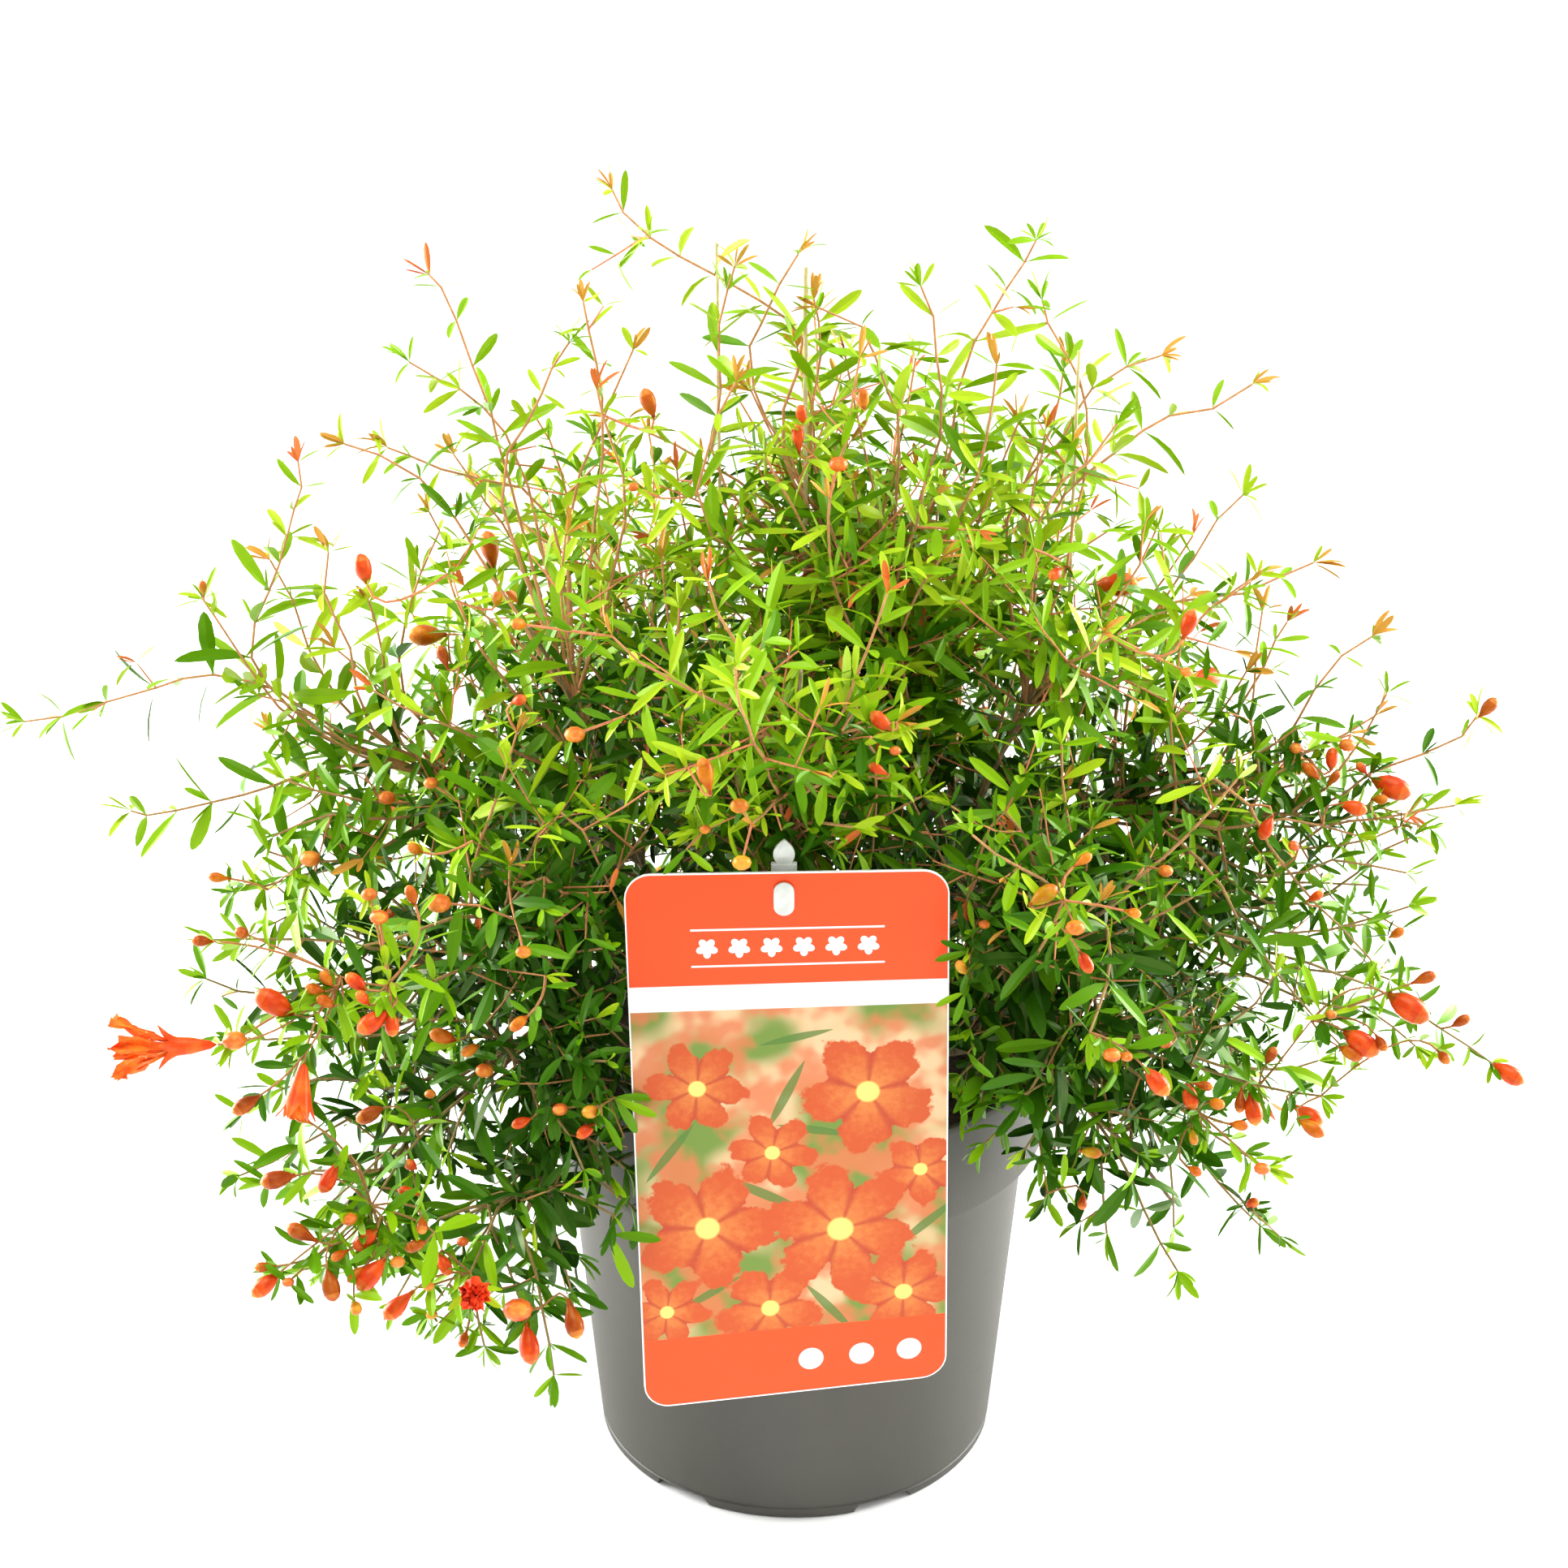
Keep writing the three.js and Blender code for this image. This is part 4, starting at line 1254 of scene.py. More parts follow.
    def grow_shoots(self):
        """Long shoots at the back, whose tips stand where the frame's shoot nodes reach furthest."""
        rng = self.rng
        for name in SHOOTS:
            corners = [vert.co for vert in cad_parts[name].data.vertices]
            tip = max(corners, key=lambda co: (co - HEART).length).copy()
            root = min(corners, key=lambda co: (co - HEART).length).copy()
            if root.y < BACK_FROM * MM:
                continue
            self.shoot([root, tip], *BACK_LONG)
            self.shoot([root, root.lerp(tip, rng.uniform(0.4, 0.75)) + self.wander(10 * MM)], *BACK_SHORT)

    def grow_outline(self):
        """Single shoots that stand out of the crown at its known places."""
        for depth, leafy, *spots in OUTLINE.values():
            points = [seen_at(x, y, depth) for x, y in spots]
            self.shoot(points, leafy, OUTLINE_SIDE, OUTLINE_OPEN, OUTLINE_STRIDE)
        for depth, *spots in INNER.values():
            self.shoot([seen_at(x, y, depth) for x, y in spots], INNER_LEAFY, INNER_SIDE, INNER_OPEN)

    def grow_over_label(self):
        """A few leaves whose ends lie over the edges of the label."""
        for foot_x, foot_y, depth, leaves in OVER_LABEL:
            foot = seen_at(foot_x, foot_y, depth)
            start, _ = self.perch(foot_x, foot_y)
            self.stalk(start, foot, (foot - start).normalized())
            for tip_x, tip_y, tint in leaves:
                reach = seen_at(tip_x, tip_y, depth) - foot
                facing = UP * 0.5 - Vector((0, 0.8, 0))
                matrix = standing(foot, reach, facing, reach.length, reach.length)
                self.leaves[tint].append((self.rng.randrange(len(LEAF_BENDS)), matrix))

    def grow_pruned(self):
        """Stout upright stems that were cut off flat above the crown."""
        for x, y, foot, top, radius in PRUNED:
            count = round((top - foot) / 14)
            points = [mm(x, y, mix(foot, top, i / count)) + self.wander(0.15 * MM) for i in range(count + 1)]
            self.limbs["pruned"].append((points, [radius * self.rng.uniform(0.9, 1.08) * MM for _ in points]))

    # -- buds and flowers

    def perch(self, x, y):
        """The twig point in front that shows nearest to a pixel, and how far along the sight line it is."""
        eye, ray = sight(x, y)
        away = self.perches - np.array(eye)
        along = away @ np.array(ray)
        aside = np.linalg.norm(away - along[:, None] * np.array(ray), axis=1)
        k = int(np.argmin(along + 3 * np.maximum(aside - 0.004, 0)))
        return Vector(self.perches[k]), float(along[k])

    def stalk(self, start, neck, direction):
        """A stalk from a twig to a bud's neck, with leaves where it is long."""
        rng = self.rng
        gap = (neck - start).length
        points = along_curve([start, neck - direction * 0.5 * gap, neck], 4.5 * MM)
        last = len(points) - 1
        self.limbs["twig"].append((points, taper(last + 1, *STALK_RADII)))
        tint = self.tint(neck, 0.5)
        for i in range(1, last, 2):
            twig, out = node_at(points, i, rng.uniform(0, math.pi))
            self.pair(points[i], twig, out, rng.uniform(9, 17), tint)
        out = Matrix.Rotation(rng.uniform(0, math.pi), 3, direction) @ across(direction)
        self.pair(neck - direction * MM, direction, out, rng.uniform(6, 10), tint, rng.choice((2, 3, 4)))

    def set_on(self, spot, least):
        """Neck, direction and length of what shows between two pixels; the neck joins the nearest twig."""
        neck_x, neck_y, tip_x, tip_y = spot
        start, along = self.perch(neck_x, neck_y)
        depth = along - 5 * MM
        eye, ray = sight(neck_x, neck_y)
        neck = eye + ray * depth
        shown = eye + sight(tip_x, tip_y)[1] * depth - neck
        length = max(shown.length, least * MM)
        direction = (shown - ray * math.sqrt(length**2 - shown.length**2)).normalized()
        self.stalk(start, neck, direction)
        return neck, direction, length

    def add_bud(self, skin, neck, direction, width, length):
        form = self.rng.randrange(len(BUD_FORMS))
        self.buds[skin].append((form, standing(neck, direction, UP, width, length)))

    def open_sight(self, place, radius):
        """Drops the leaves that lie between the camera and a point."""
        eye = mm(*VIEW["place"])
        ray = (place - eye).normalized()
        reach = (place - eye).length
        for tint, leaves in self.leaves.items():
            kept = []
            for shape, matrix in leaves:
                middle = Vector([row[3] + row[1] / 2 for row in matrix[:3]])
                along = (middle - eye).dot(ray)
                hides = along < reach and (middle - eye - ray * along).length < radius * MM
                if not hides:
                    kept.append((shape, matrix))
            self.leaves[tint] = kept

    def gather_perches(self):
        points = []
        for kind in ("branch", "twig"):
            for limb, _ in self.limbs[kind]:
                points += limb[len(limb) // 2 :]
        self.perches = np.array(points)

    def grow_seen_buds(self):
        """Buds and flowers at their known places on the shrub's front."""
        rng = self.rng
        for skin, spots in SEEN_BUDS.items():
            for spot in spots:
                round_bud = len(spot) == 3
                if round_bud:
                    x, y, across_mm = spot
                    neck, direction, length = self.set_on((x, y, x, y), across_mm * 1.5)
                    width = across_mm * MM / BUD_ACROSS
                else:
                    neck, direction, length = self.set_on(spot, 7)
                    width = length * rng.uniform(0.92, 1.06)
                self.add_bud(skin, neck, direction, width, length)
                self.open_sight(neck + direction * length / 2, 4.5)
        for form, spot in SEEN_FLOWERS:
            neck, direction, length = self.set_on(spot, 8)
            scale = length / (FLOWER_FORMS[form]["tube"] * MM)
            self.flowers.append((form, standing(neck, direction, UP, scale, scale)))
            self.open_sight(neck + direction * length / 2, 8)

    def grow_hidden_buds(self):
        """Buds and flowers on tips all round the shrub's sides and back, most of them low down."""
        rng = self.rng
        behind = [tip for tip in self.tips if tip[0].y > HIDDEN_BACK]
        outer = [tip for tip in behind if self.crown.depth(tip[0]) < HIDDEN_DEPTH]
        rng.shuffle(outer)
        placed = []
        flowers = 0
        for point, end in outer:
            height = (point.z / MM - HIDDEN_LOW) / HIDDEN_FADE
            crowded = sum((point - other).length < HIDDEN_APART for other in placed) > 1
            if len(placed) == HIDDEN_BUDS or crowded or rng.random() < height:
                continue
            direction = (end + self.wander(0.25) - UP * rng.uniform(0, 0.5)).normalized()
            neck = point + direction * 4 * MM
            self.stalk(point, neck, direction)
            placed.append(point)
            if point.y > 0.08 and point.z < 0.23 and flowers < len(placed) // BUDS_PER_FLOWER:
                flowers += 1
                form = list(FLOWER_FORMS)[flowers % len(FLOWER_FORMS)]
                self.flowers.append((form, standing(neck, direction, UP, 1, 1)))
                continue
            length = rng.uniform(*HIDDEN_LENGTHS) * MM
            skin = rng.choices(list(BUD_SKINS), HIDDEN_SHARES)[0]
            self.add_bud(skin, neck, direction, length, length)


# For each group of masses: how closely leaders stand on it, the share of them that reach its surface, how far
# the others may stay back, how much of each is leafy, the length of its side twigs and how readily they grow.
DENSITY = {
    "foliage_core": (33, 1.0, 0, 130, 42, 1.1),
    "foliage_top": (29, 0.5, 48, 165, 36, 0.95),
    "foliage_upper": (35, 0.34, 52, 165, 38, 0.95),
    "foliage_upper_2": (38, 0.34, 52, 165, 36, 0.9),
    "foliage_middle": (35, 0.38, 48, 160, 40, 0.95),
    "foliage_middle_1": (38, 0.36, 48, 155, 38, 0.9),
    "foliage_middle_6": (41, 0.34, 50, 150, 36, 0.85),
    "foliage_middle_7": (41, 0.34, 50, 150, 36, 0.85),
    "foliage_middle_front": (28, 0.7, 30, 140, 40, 1.2),
    "foliage_lower": (33, 0.35, 45, 130, 38, 0.95),
    "foliage_lower_1": (39, 0.3, 50, 120, 32, 0.8),
    "foliage_lower_6": (38, 0.3, 50, 120, 34, 0.85),
    "foliage_lower_7": (39, 0.3, 50, 120, 32, 0.8),
    "foliage_skirt": (34, 0.4, 32, 100, 30, 0.75),
    "foliage_skirt_left": (39, 0.35, 36, 95, 28, 0.7),
    "foliage_skirt_front_left": (34, 0.42, 32, 95, 28, 0.8),
    "foliage_skirt_front_right": (39, 0.25, 38, 85, 26, 0.6),
}
# Radii in millimetres, from foot to tip, and how soon a branch thins.
BOUGH_RADII = (2.9, 1.3)
ARM_RADII = (1.05, 0.65)
BRANCH_RADII = (0.8, 0.4)
BRANCH_TAPER = 0.8
TWIG_BASE = {2: 0.5, 3: 0.4}
TWIG_TIP = 0.26
STALK_RADII = (0.5, 0.42)
# Leaves: how a pair and a tuft's extra leaves lean out, in degrees, how sizes and widths vary, how large the
# extra leaves are, and how long the small ones at a tip, in millimetres.
PAIR_LEAN, TUFT_LEAN = (48, 80), (30, 60)
LEAF_SIZES, LEAF_WIDTHS = (0.75, 1.15), (0.85, 1.15)
TUFT_SIZE = 0.6
TIP_LEAVES = (6, 12)
# Side twigs: their lean in degrees, leaf spacing, last leaf, chance of a tuft where growth is coarse and
# fine, chance and length of a twig of their own, and chance of a tip of small leaves.
TWIG_LEAN = (48, 82)
TWIG_STRIDES, TWIG_WANDER = (0.8, 1.15), (0.06, 0.06, 0.05)
TWIG_INTERNODE = 0.8
TWIG_LAST_LEAF = 0.55
TWIG_TUFTS = (0.16, 0.4)
TWIGLET_CHANCE, TWIGLET = 0.16, (9, 22)
TIP_CHANCE = 0.45
# Leaders: how they hang or rise, their young and bare ends in millimetres, their leaves from the tip back to
# full size, their tufts, and how far side twigs reach from the tip back to full length.
DROOP, LIFT = -0.03, 0.04
YOUNG_END, BARE_END = 35, 12
LEADER_LEAVES, LEAVES_FULL = (0.62, 1.14), 45
LEADER_TUFTS = (0.2, 0.45)
SIDE_SHORTEST, SIDE_FULL, SIDE_LENGTHS = 0.35, 80, (0.45, 1.25)
SIDE_CHANCE = 0.38
# Height in metres from which tips turn bronze, and over which all do that will.
YOUNG_FROM, YOUNG_RISE = 0.24, 0.16
# How light a spray is, from deep green to lime, partly by age and partly as painted light and shade: low down
# on the outside, high up, and what the outside adds there; then, low down and high up, what youth adds and
# how sprays differ; and the painted shade towards the right for a metre.
TINT = {
    "low": 0.6,
    "high": 0.83,
    "outside": 0.06,
    "youth": (0.14, 0.18),
    "spread": (0.14, 0.19),
    "right": 0.2,
}
TINT_STEPS = 4.2
# The tints and their painted shade change between these heights, and down to this depth in the crown, all in
# metres.
SHADE_FROM, SHADE_TO = 0.2, 0.37
SHADE_DEPTH = 0.085
# How much broader leaves are low down.
BROAD = 1.14
# Growth turns fine between these heights and to the right of this place, over this width, all in metres, and
# its leaves are this much smaller.
FINE_FROM, FINE_TO = 0.3, 0.4
FINE_RIGHT = 0.1
FINE_WIDTH = 0.08
FINE_LEAF = 0.74
LEFT_THINNER = 0.1
# Heights between which the crown's thin margin widens, its width at each, and the least share of twigs.
THIN_FROM, THIN_TO = 185, 310
LOW_MARGIN, HIGH_MARGIN = 42, 95
THINNEST = 0.28
# High up at the sides some leaders are missing: the distances and heights between which more of them are, and
# the largest share.
SIDE_FROM, SIDE_TO = 72, 155
GAPS_FROM, GAPS_TO = 240, 295
SIDE_GAPS = 0.58
# Shoots that leave the crown behind this distance from its middle follow the frame's shoot nodes.
BACK_FROM = 60
# Leafy length, side twigs and openness of each and of its shorter neighbour.
BACK_LONG, BACK_SHORT = (170, 24, 0.6), (110, 24, 0.8)
# Where on a bough an arm may start, the distance and height at which a skirt's arm passes over the rim, and
# how far past the skirt's middle it ends.
ARM_STARTS = (0.55, 0.75, 0.95)
OVER_RIM = (112, 188)
PAST_SKIRT = 8

# Single shoots: depth and leafy length in millimetres, and the places they pass in the view, out to the tip.
OUTLINE = {
    "top_arch": (0, 95, (965, 560), (990, 420), (935, 372), (880, 340), (802, 292), (768, 262), (757, 236)),
    "top_upright": (-8, 60, (895, 600), (888, 480), (886, 400), (905, 330)),
    "top_fork": (0, 50, (930, 480), (940, 400), (962, 350), (982, 312)),
    "top_middle": (0, 60, (1000, 560), (1010, 440), (1004, 370)),
    "top_bend": (-8, 60, (1110, 560), (1095, 480), (1062, 402), (1008, 380)),
    "top_spire": (0, 95, (1160, 600), (1180, 480), (1202, 420), (1238, 356), (1262, 325), (1277, 296)),
    "top_thin": (-5, 60, (1158, 540), (1153, 440), (1150, 390), (1136, 354)),
    "right_whorl": (10, 60, (1340, 560), (1318, 440), (1292, 398), (1284, 368)),
    "right_bronze": (10, 85, (1240, 640), (1310, 540), (1345, 480), (1388, 452), (1430, 437)),
    "right_long": (5, 90, (1290, 650), (1370, 560), (1440, 515), (1495, 503), (1543, 474)),
    "left_spire": (5, 95, (640, 640), (605, 510), (582, 450), (562, 396), (545, 352), (532, 340)),
    "left_level": (15, 70, (680, 640), (600, 590), (545, 577), (480, 552)),
    "left_fork": (10, 60, (650, 600), (598, 503), (540, 466), (505, 446)),
    "left_thin": (5, 60, (700, 640), (735, 540), (752, 490), (780, 430)),
    "left_fine": (0, 60, (620, 620), (650, 520), (682, 455), (700, 422)),
    "left_whorl": (0, 45, (740, 560), (735, 450), (720, 372)),
    "left_outer": (5, 60, (560, 640), (520, 590), (470, 560), (425, 547)),
    "shoulder": (0, 95, (500, 860), (500, 770), (520, 705), (542, 655), (530, 632)),
    "shoulder_bud": (-10, 45, (490, 900), (472, 810), (455, 742)),
    "shoulder_low": (-10, 45, (500, 920), (455, 835), (412, 798)),
    "tall_left": (-5, 95, (400, 900), (308, 810), (332, 728), (354, 662), (372, 600), (368, 570)),
    "tall_left_side": (-5, 50, (380, 900), (300, 812), (262, 760), (250, 738)),
    "tall_left_inner": (5, 90, (450, 900), (380, 800), (362, 740), (335, 690)),
    "tall_left_twin": (-12, 90, (460, 900), (430, 800), (402, 730), (405, 680)),
    "far_left": (-5, 110, (420, 900), (340, 850), (262, 832), (190, 847), (130, 866), (76, 884), (28, 888)),
    "left_rosette": (-12, 40, (430, 920), (390, 885), (345, 862), (318, 858)),
    "left_rosette_low": (-15, 40, (440, 930), (400, 905), (365, 880), (350, 905)),
    "side_left": (-15, 95, (470, 940), (420, 942), (340, 967), (262, 990), (180, 1003), (163, 999)),
    "left_spray": (-30, 60, (430, 1060), (330, 1050), (318, 1015)),
    "left_low": (-40, 55, (420, 1160), (340, 1158), (265, 1160)),
    "flower_stalk": (-55, 45, (500, 1270), (380, 1278), (290, 1280)),
    "left_red": (-60, 55, (440, 1330), (350, 1340), (300, 1370)),
    "left_lower": (-80, 55, (480, 1440), (390, 1445), (330, 1457)),
    "left_bottom": (-90, 70, (520, 1530), (420, 1555), (345, 1570)),
    "left_hanging": (-110, 45, (540, 1500), (510, 1560), (485, 1605)),
    "hanging": (-112, 45, (600, 1480), (625, 1560), (645, 1615)),
    "hanging_leaves": (-108, 45, (570, 1500), (585, 1590), (598, 1660)),
    "hanging_right": (-112, 45, (660, 1460), (690, 1540), (703, 1590)),
    "shoulder_right": (10, 85, (1380, 820), (1430, 742), (1470, 690), (1500, 640), (1532, 612)),
    "high_right": (0, 85, (1400, 780), (1450, 740), (1530, 733), (1575, 712), (1618, 692)),
    "right_stem": (-25, 60, (1445, 1000), (1442, 890), (1455, 800)),
    "right_upright": (-15, 75, (1540, 1000), (1543, 890), (1549, 800), (1554, 752)),
    "right_lean": (-5, 60, (1490, 960), (1530, 870), (1572, 790), (1584, 766)),
    "right_thin": (0, 70, (1540, 960), (1620, 850), (1655, 808), (1690, 786)),
    "right_twin": (-10, 45, (1590, 1000), (1680, 905), (1708, 854)),
    "far_right": (-5, 75, (1600, 1000), (1690, 952), (1752, 930), (1800, 906), (1822, 884)),
    "side_right": (-15, 85, (1560, 1050), (1630, 1020), (1700, 1006), (1795, 992)),
    "side_right_low": (-15, 70, (1560, 1110), (1640, 1100), (1700, 1050), (1742, 1028)),
    "right_fringe": (-25, 80, (1560, 1080), (1640, 1060), (1730, 1075)),
    "right_fringe_far": (0, 70, (1600, 1020), (1680, 1000), (1762, 1020)),
    "right_fringe_low": (-30, 80, (1560, 1150), (1650, 1140), (1735, 1118)),
    "right_fringe_inner": (20, 80, (1560, 1120), (1620, 1110), (1690, 1132)),
    "right_tip_low": (-25, 60, (1600, 1230), (1680, 1240), (1742, 1288)),
    "right_front": (-45, 60, (1500, 960), (1560, 1040), (1600, 1090), (1650, 1142), (1690, 1180)),
    "right_bud": (-10, 50, (1580, 1190), (1680, 1195), (1712, 1205)),
    "right_arch": (-50, 70, (1480, 1060), (1545, 1160), (1600, 1230), (1650, 1285)),
    "tip_right": (-20, 110, (1560, 1170), (1690, 1215), (1770, 1262), (1838, 1310)),
    "right_hanging": (-60, 60, (1440, 1360), (1500, 1400), (1562, 1437)),
    "right_low_leaves": (-80, 60, (1400, 1350), (1440, 1430), (1445, 1510)),
    "right_foot": (-85, 60, (1350, 1350), (1358, 1440), (1362, 1520)),
    "right_near_pot": (-80, 50, (1310, 1340), (1300, 1420), (1288, 1475)),
}
# The side twigs of these shoots, how often they branch, and how much further apart their leaves stand.
OUTLINE_SIDE = 18
OUTLINE_OPEN = 0.5
OUTLINE_STRIDE = 1.05
# Leafy shoots that close the crown beside and above the label, in the same way but all equally leafy.
INNER = {
    "left_high": (-88, (690, 1000), (760, 1110)),
    "left_upper": (-90, (670, 1080), (768, 1200)),
    "left_middle": (-91, (650, 1160), (772, 1290)),
    "left_low": (-92, (640, 1230), (740, 1330), (780, 1400)),
    "left_lower": (-96, (600, 1260), (690, 1370), (768, 1440)),
    "left_foot": (-98, (620, 1320), (700, 1420), (776, 1485)),
    "right_high": (-85, (1240, 1000), (1190, 1110)),
    "right_upper": (-86, (1260, 1060), (1180, 1180)),
    "right_middle": (-84, (1300, 1120), (1182, 1265)),
    "right_low": (-82, (1320, 1200), (1185, 1325)),
    "right_inner": (-75, (1260, 1100), (1215, 1230), (1190, 1330)),
    "right_inner_low": (-78, (1270, 1180), (1215, 1290), (1180, 1385)),
    "right_rim": (-98, (1320, 1260), (1260, 1360), (1215, 1410)),
    "right_rim_out": (-90, (1330, 1260), (1300, 1350), (1265, 1415)),
    "gap_left": (-30, (850, 900), (825, 780), (815, 690)),
    "gap_left_low": (-45, (860, 980), (835, 860), (838, 750)),
    "gap_left_high": (-10, (880, 800), (850, 680), (835, 580)),
    "above_label_left": (-70, (900, 900), (910, 980), (930, 1045)),
    "above_label": (-60, (960, 900), (985, 990), (1010, 1050)),
    "above_label_right": (-70, (1060, 900), (1080, 980), (1075, 1050)),
    "upper_right": (-10, (1260, 700), (1275, 600), (1290, 530)),
    "crest_left": (-28, (880, 660), (870, 560), (905, 470)),
    "crest_middle": (12, (1010, 600), (1000, 500), (980, 430)),
    "crest_middle_front": (-32, (1020, 640), (1045, 540), (1060, 440)),
    "crest_right_back": (34, (1080, 640), (1110, 540), (1130, 440)),
    "crest_right": (-15, (1180, 640), (1215, 540), (1228, 450)),
    "crest_far_right": (26, (1250, 620), (1295, 530), (1310, 455)),
    "crest_right_low": (-20, (1280, 640), (1340, 570), (1375, 520)),
    "crest_far_left": (24, (700, 660), (690, 580), (665, 515)),
    "crest_left_front": (-24, (770, 640), (755, 550), (735, 480)),
    "crest_left_low": (10, (640, 680), (600, 620), (560, 560)),
    "shoulder_inner": (18, (1400, 780), (1435, 710), (1470, 660)),
    "shoulder_inner_low": (-20, (1420, 820), (1490, 750), (1550, 710)),
    "right_side": (-30, (1500, 1020), (1580, 1010), (1670, 1030)),
    "right_side_middle": (8, (1500, 1090), (1590, 1085), (1690, 1090)),
    "right_side_low": (-40, (1500, 1150), (1590, 1150), (1680, 1140)),
    "right_side_high": (15, (1520, 980), (1620, 960), (1690, 940)),
    "right_side_upper": (-18, (1540, 970), (1610, 925), (1665, 905)),
    "right_side_far": (4, (1580, 1010), (1665, 990), (1735, 1005)),
    "left_side": (-30, (480, 1010), (410, 1005), (335, 1030)),
    "left_side_low": (5, (450, 1080), (370, 1080), (290, 1100)),
}
INNER_LEAFY, INNER_SIDE, INNER_OPEN = 90, 34, 1.5
# Where leaves lie over the label's edge: their foot, its depth in millimetres, and the end and tint of each.
OVER_LABEL = (
    (757, 1352, -103, ((805, 1350, "mid"), (808, 1378, "fresh"), (790, 1398, "mid"))),
    (752, 1521, -107, ((815, 1524, "mid"), (776, 1586, "fresh"))),
    (1196, 1172, -101, ((1150, 1184, "mid"), (1158, 1160, "dark"))),
    (1190, 1222, -101, ((1152, 1238, "fresh"), (1176, 1262, "mid"))),
    (846, 1046, -101, ((880, 1078, "fresh"), (818, 1078, "mid"))),
)
# Stems cut off flat: x, y, foot, top and radius in millimetres.
PRUNED = ((-27, 0, 310, 461, 0.65), (3, 0, 300, 453, 0.85), (97, 8, 330, 423, 0.6))

# Where buds show in the view: neck and tip, or middle and millimetres across of one that is seen end on.
SEEN_BUDS = {
    "red": (
        (362, 1250, 313, 1222), (452, 1220, 425, 1200), (455, 1238, 440, 1222), (480, 1245, 440, 1272),
        (482, 1245, 484, 1278), (655, 1378, 630, 1388), (733, 1385, 710, 1402), (418, 1430, 395, 1470),
        (518, 1472, 490, 1466), (513, 1440, 500, 1432), (465, 1515, 435, 1540), (540, 1545, 555, 1572),
        (475, 1550, 440, 1590), (345, 1568, 310, 1598), (510, 1590, 473, 1625), (638, 1614, 10),
        (648, 1630, 655, 1682), (452, 720, 443, 681), (630, 866, 648, 860),
        (467, 1130, 6), (990, 522, 985, 498), (985, 560, 982, 522), (1033, 572, 6),
        (1098, 900, 1072, 877), (1095, 955, 1070, 942), (1308, 702, 1293, 712), (1457, 788, 1472, 750),
        (1330, 1172, 1345, 1200), (1640, 950, 1642, 920), (1660, 918, 6), (1690, 960, 1740, 980),
        (1685, 955, 1672, 940), (1650, 990, 1685, 1000), (1568, 1005, 1553, 1035), (1600, 1045, 1590, 1040),
        (1610, 1110, 1630, 1100), (1710, 1225, 1762, 1258), (1838, 1310, 1878, 1335),
        (1655, 1270, 1700, 1300),
        (1540, 1345, 1548, 1388), (1590, 1360, 1630, 1385), (1410, 1315, 1440, 1350),
        (1463, 1335, 1470, 1370),
        (1555, 1440, 6), (1535, 1485, 1550, 1480),
    ),
    "orange": (
        (410, 1215, 395, 1197), (400, 1222, 376, 1216), (412, 1240, 390, 1228), (562, 1282, 528, 1272),
        (650, 1252, 628, 1270), (590, 1288, 568, 1300), (597, 1319, 6), (289, 1282, 8.5),
        (385, 1385, 362, 1372), (430, 1502, 6), (430, 1540, 408, 1552), (450, 1560, 428, 1580),
        (708, 905, 7.5), (477, 983, 6), (648, 770, 631, 768), (382, 1058, 8), (541, 1113, 8),
        (285, 1083, 256, 1080), (512, 1115, 502, 1090), (520, 1050, 503, 1042), (806, 515, 793, 478),
        (1065, 505, 1063, 478), (876, 980, 864, 933), (1462, 828, 4), (1323, 1068, 1345, 1052),
        (1385, 1122, 1405, 1127), (1325, 1143, 6), (1436, 1073, 5), (1625, 960, 1605, 940),
        (1635, 970, 1650, 950), (1690, 985, 1710, 985), (1712, 1155, 1730, 1145), (1650, 1290, 1680, 1305),
        (1370, 1300, 6.5), (1490, 1358, 1508, 1362), (1600, 1380, 1632, 1400), (1462, 1437, 1480, 1447),
        (1515, 1385, 1538, 1388),
    ),
    "brown": (
        (320, 1350, 286, 1372), (472, 1365, 438, 1382), (690, 1367, 6), (365, 1448, 320, 1458),
        (392, 1530, 353, 1510), (520, 1500, 520, 1520), (525, 1530, 498, 1540), (403, 1565, 412, 1605),
        (340, 1560, 313, 1562), (575, 1640, 568, 1660), (700, 1600, 712, 1650), (570, 1530, 4),
        (552, 825, 541, 795), (531, 965, 5), (262, 1160, 236, 1159), (305, 1152, 292, 1147),
        (455, 1102, 5), (1103, 925, 4), (1822, 884, 1845, 860), (1597, 922, 5),
        (1738, 1212, 1770, 1200), (1788, 1265, 1812, 1252), (1772, 1295, 1785, 1310),
        (1695, 1275, 1708, 1295),
        (1530, 1340, 1527, 1372), (1560, 1310, 1572, 1290), (1388, 1302, 4), (1445, 1285, 1430, 1285),
        (1470, 1335, 1495, 1340), (1335, 1470, 1333, 1490), (355, 1580, 4),
    ),
    "yellow": (
        (530, 1348, 4), (727, 1370, 5.5), (645, 1173, 6), (251, 735, 249, 716), (612, 745, 613, 730),
        (911, 993, 6), (914, 1063, 6), (869, 1022, 4), (1268, 1115, 1303, 1092), (1190, 1200, 1180, 1185),
        (1213, 1139, 4), (780, 600, 4), (1640, 1250, 4), (1468, 1390, 1472, 1410), (1330, 1418, 1358, 1422),
        (437, 1605, 440, 1618), (528, 1585, 4), (490, 1555, 5), (532, 1620, 4),
    ),
}
# The flowers that show, from the neck of the calyx to its mouth.
SEEN_FLOWERS = (
    ("trumpet", (268, 1287, 205, 1290)),
    ("bell", (375, 1308, 366, 1366)),
    ("open", (580, 1590, 584, 1594)),
)
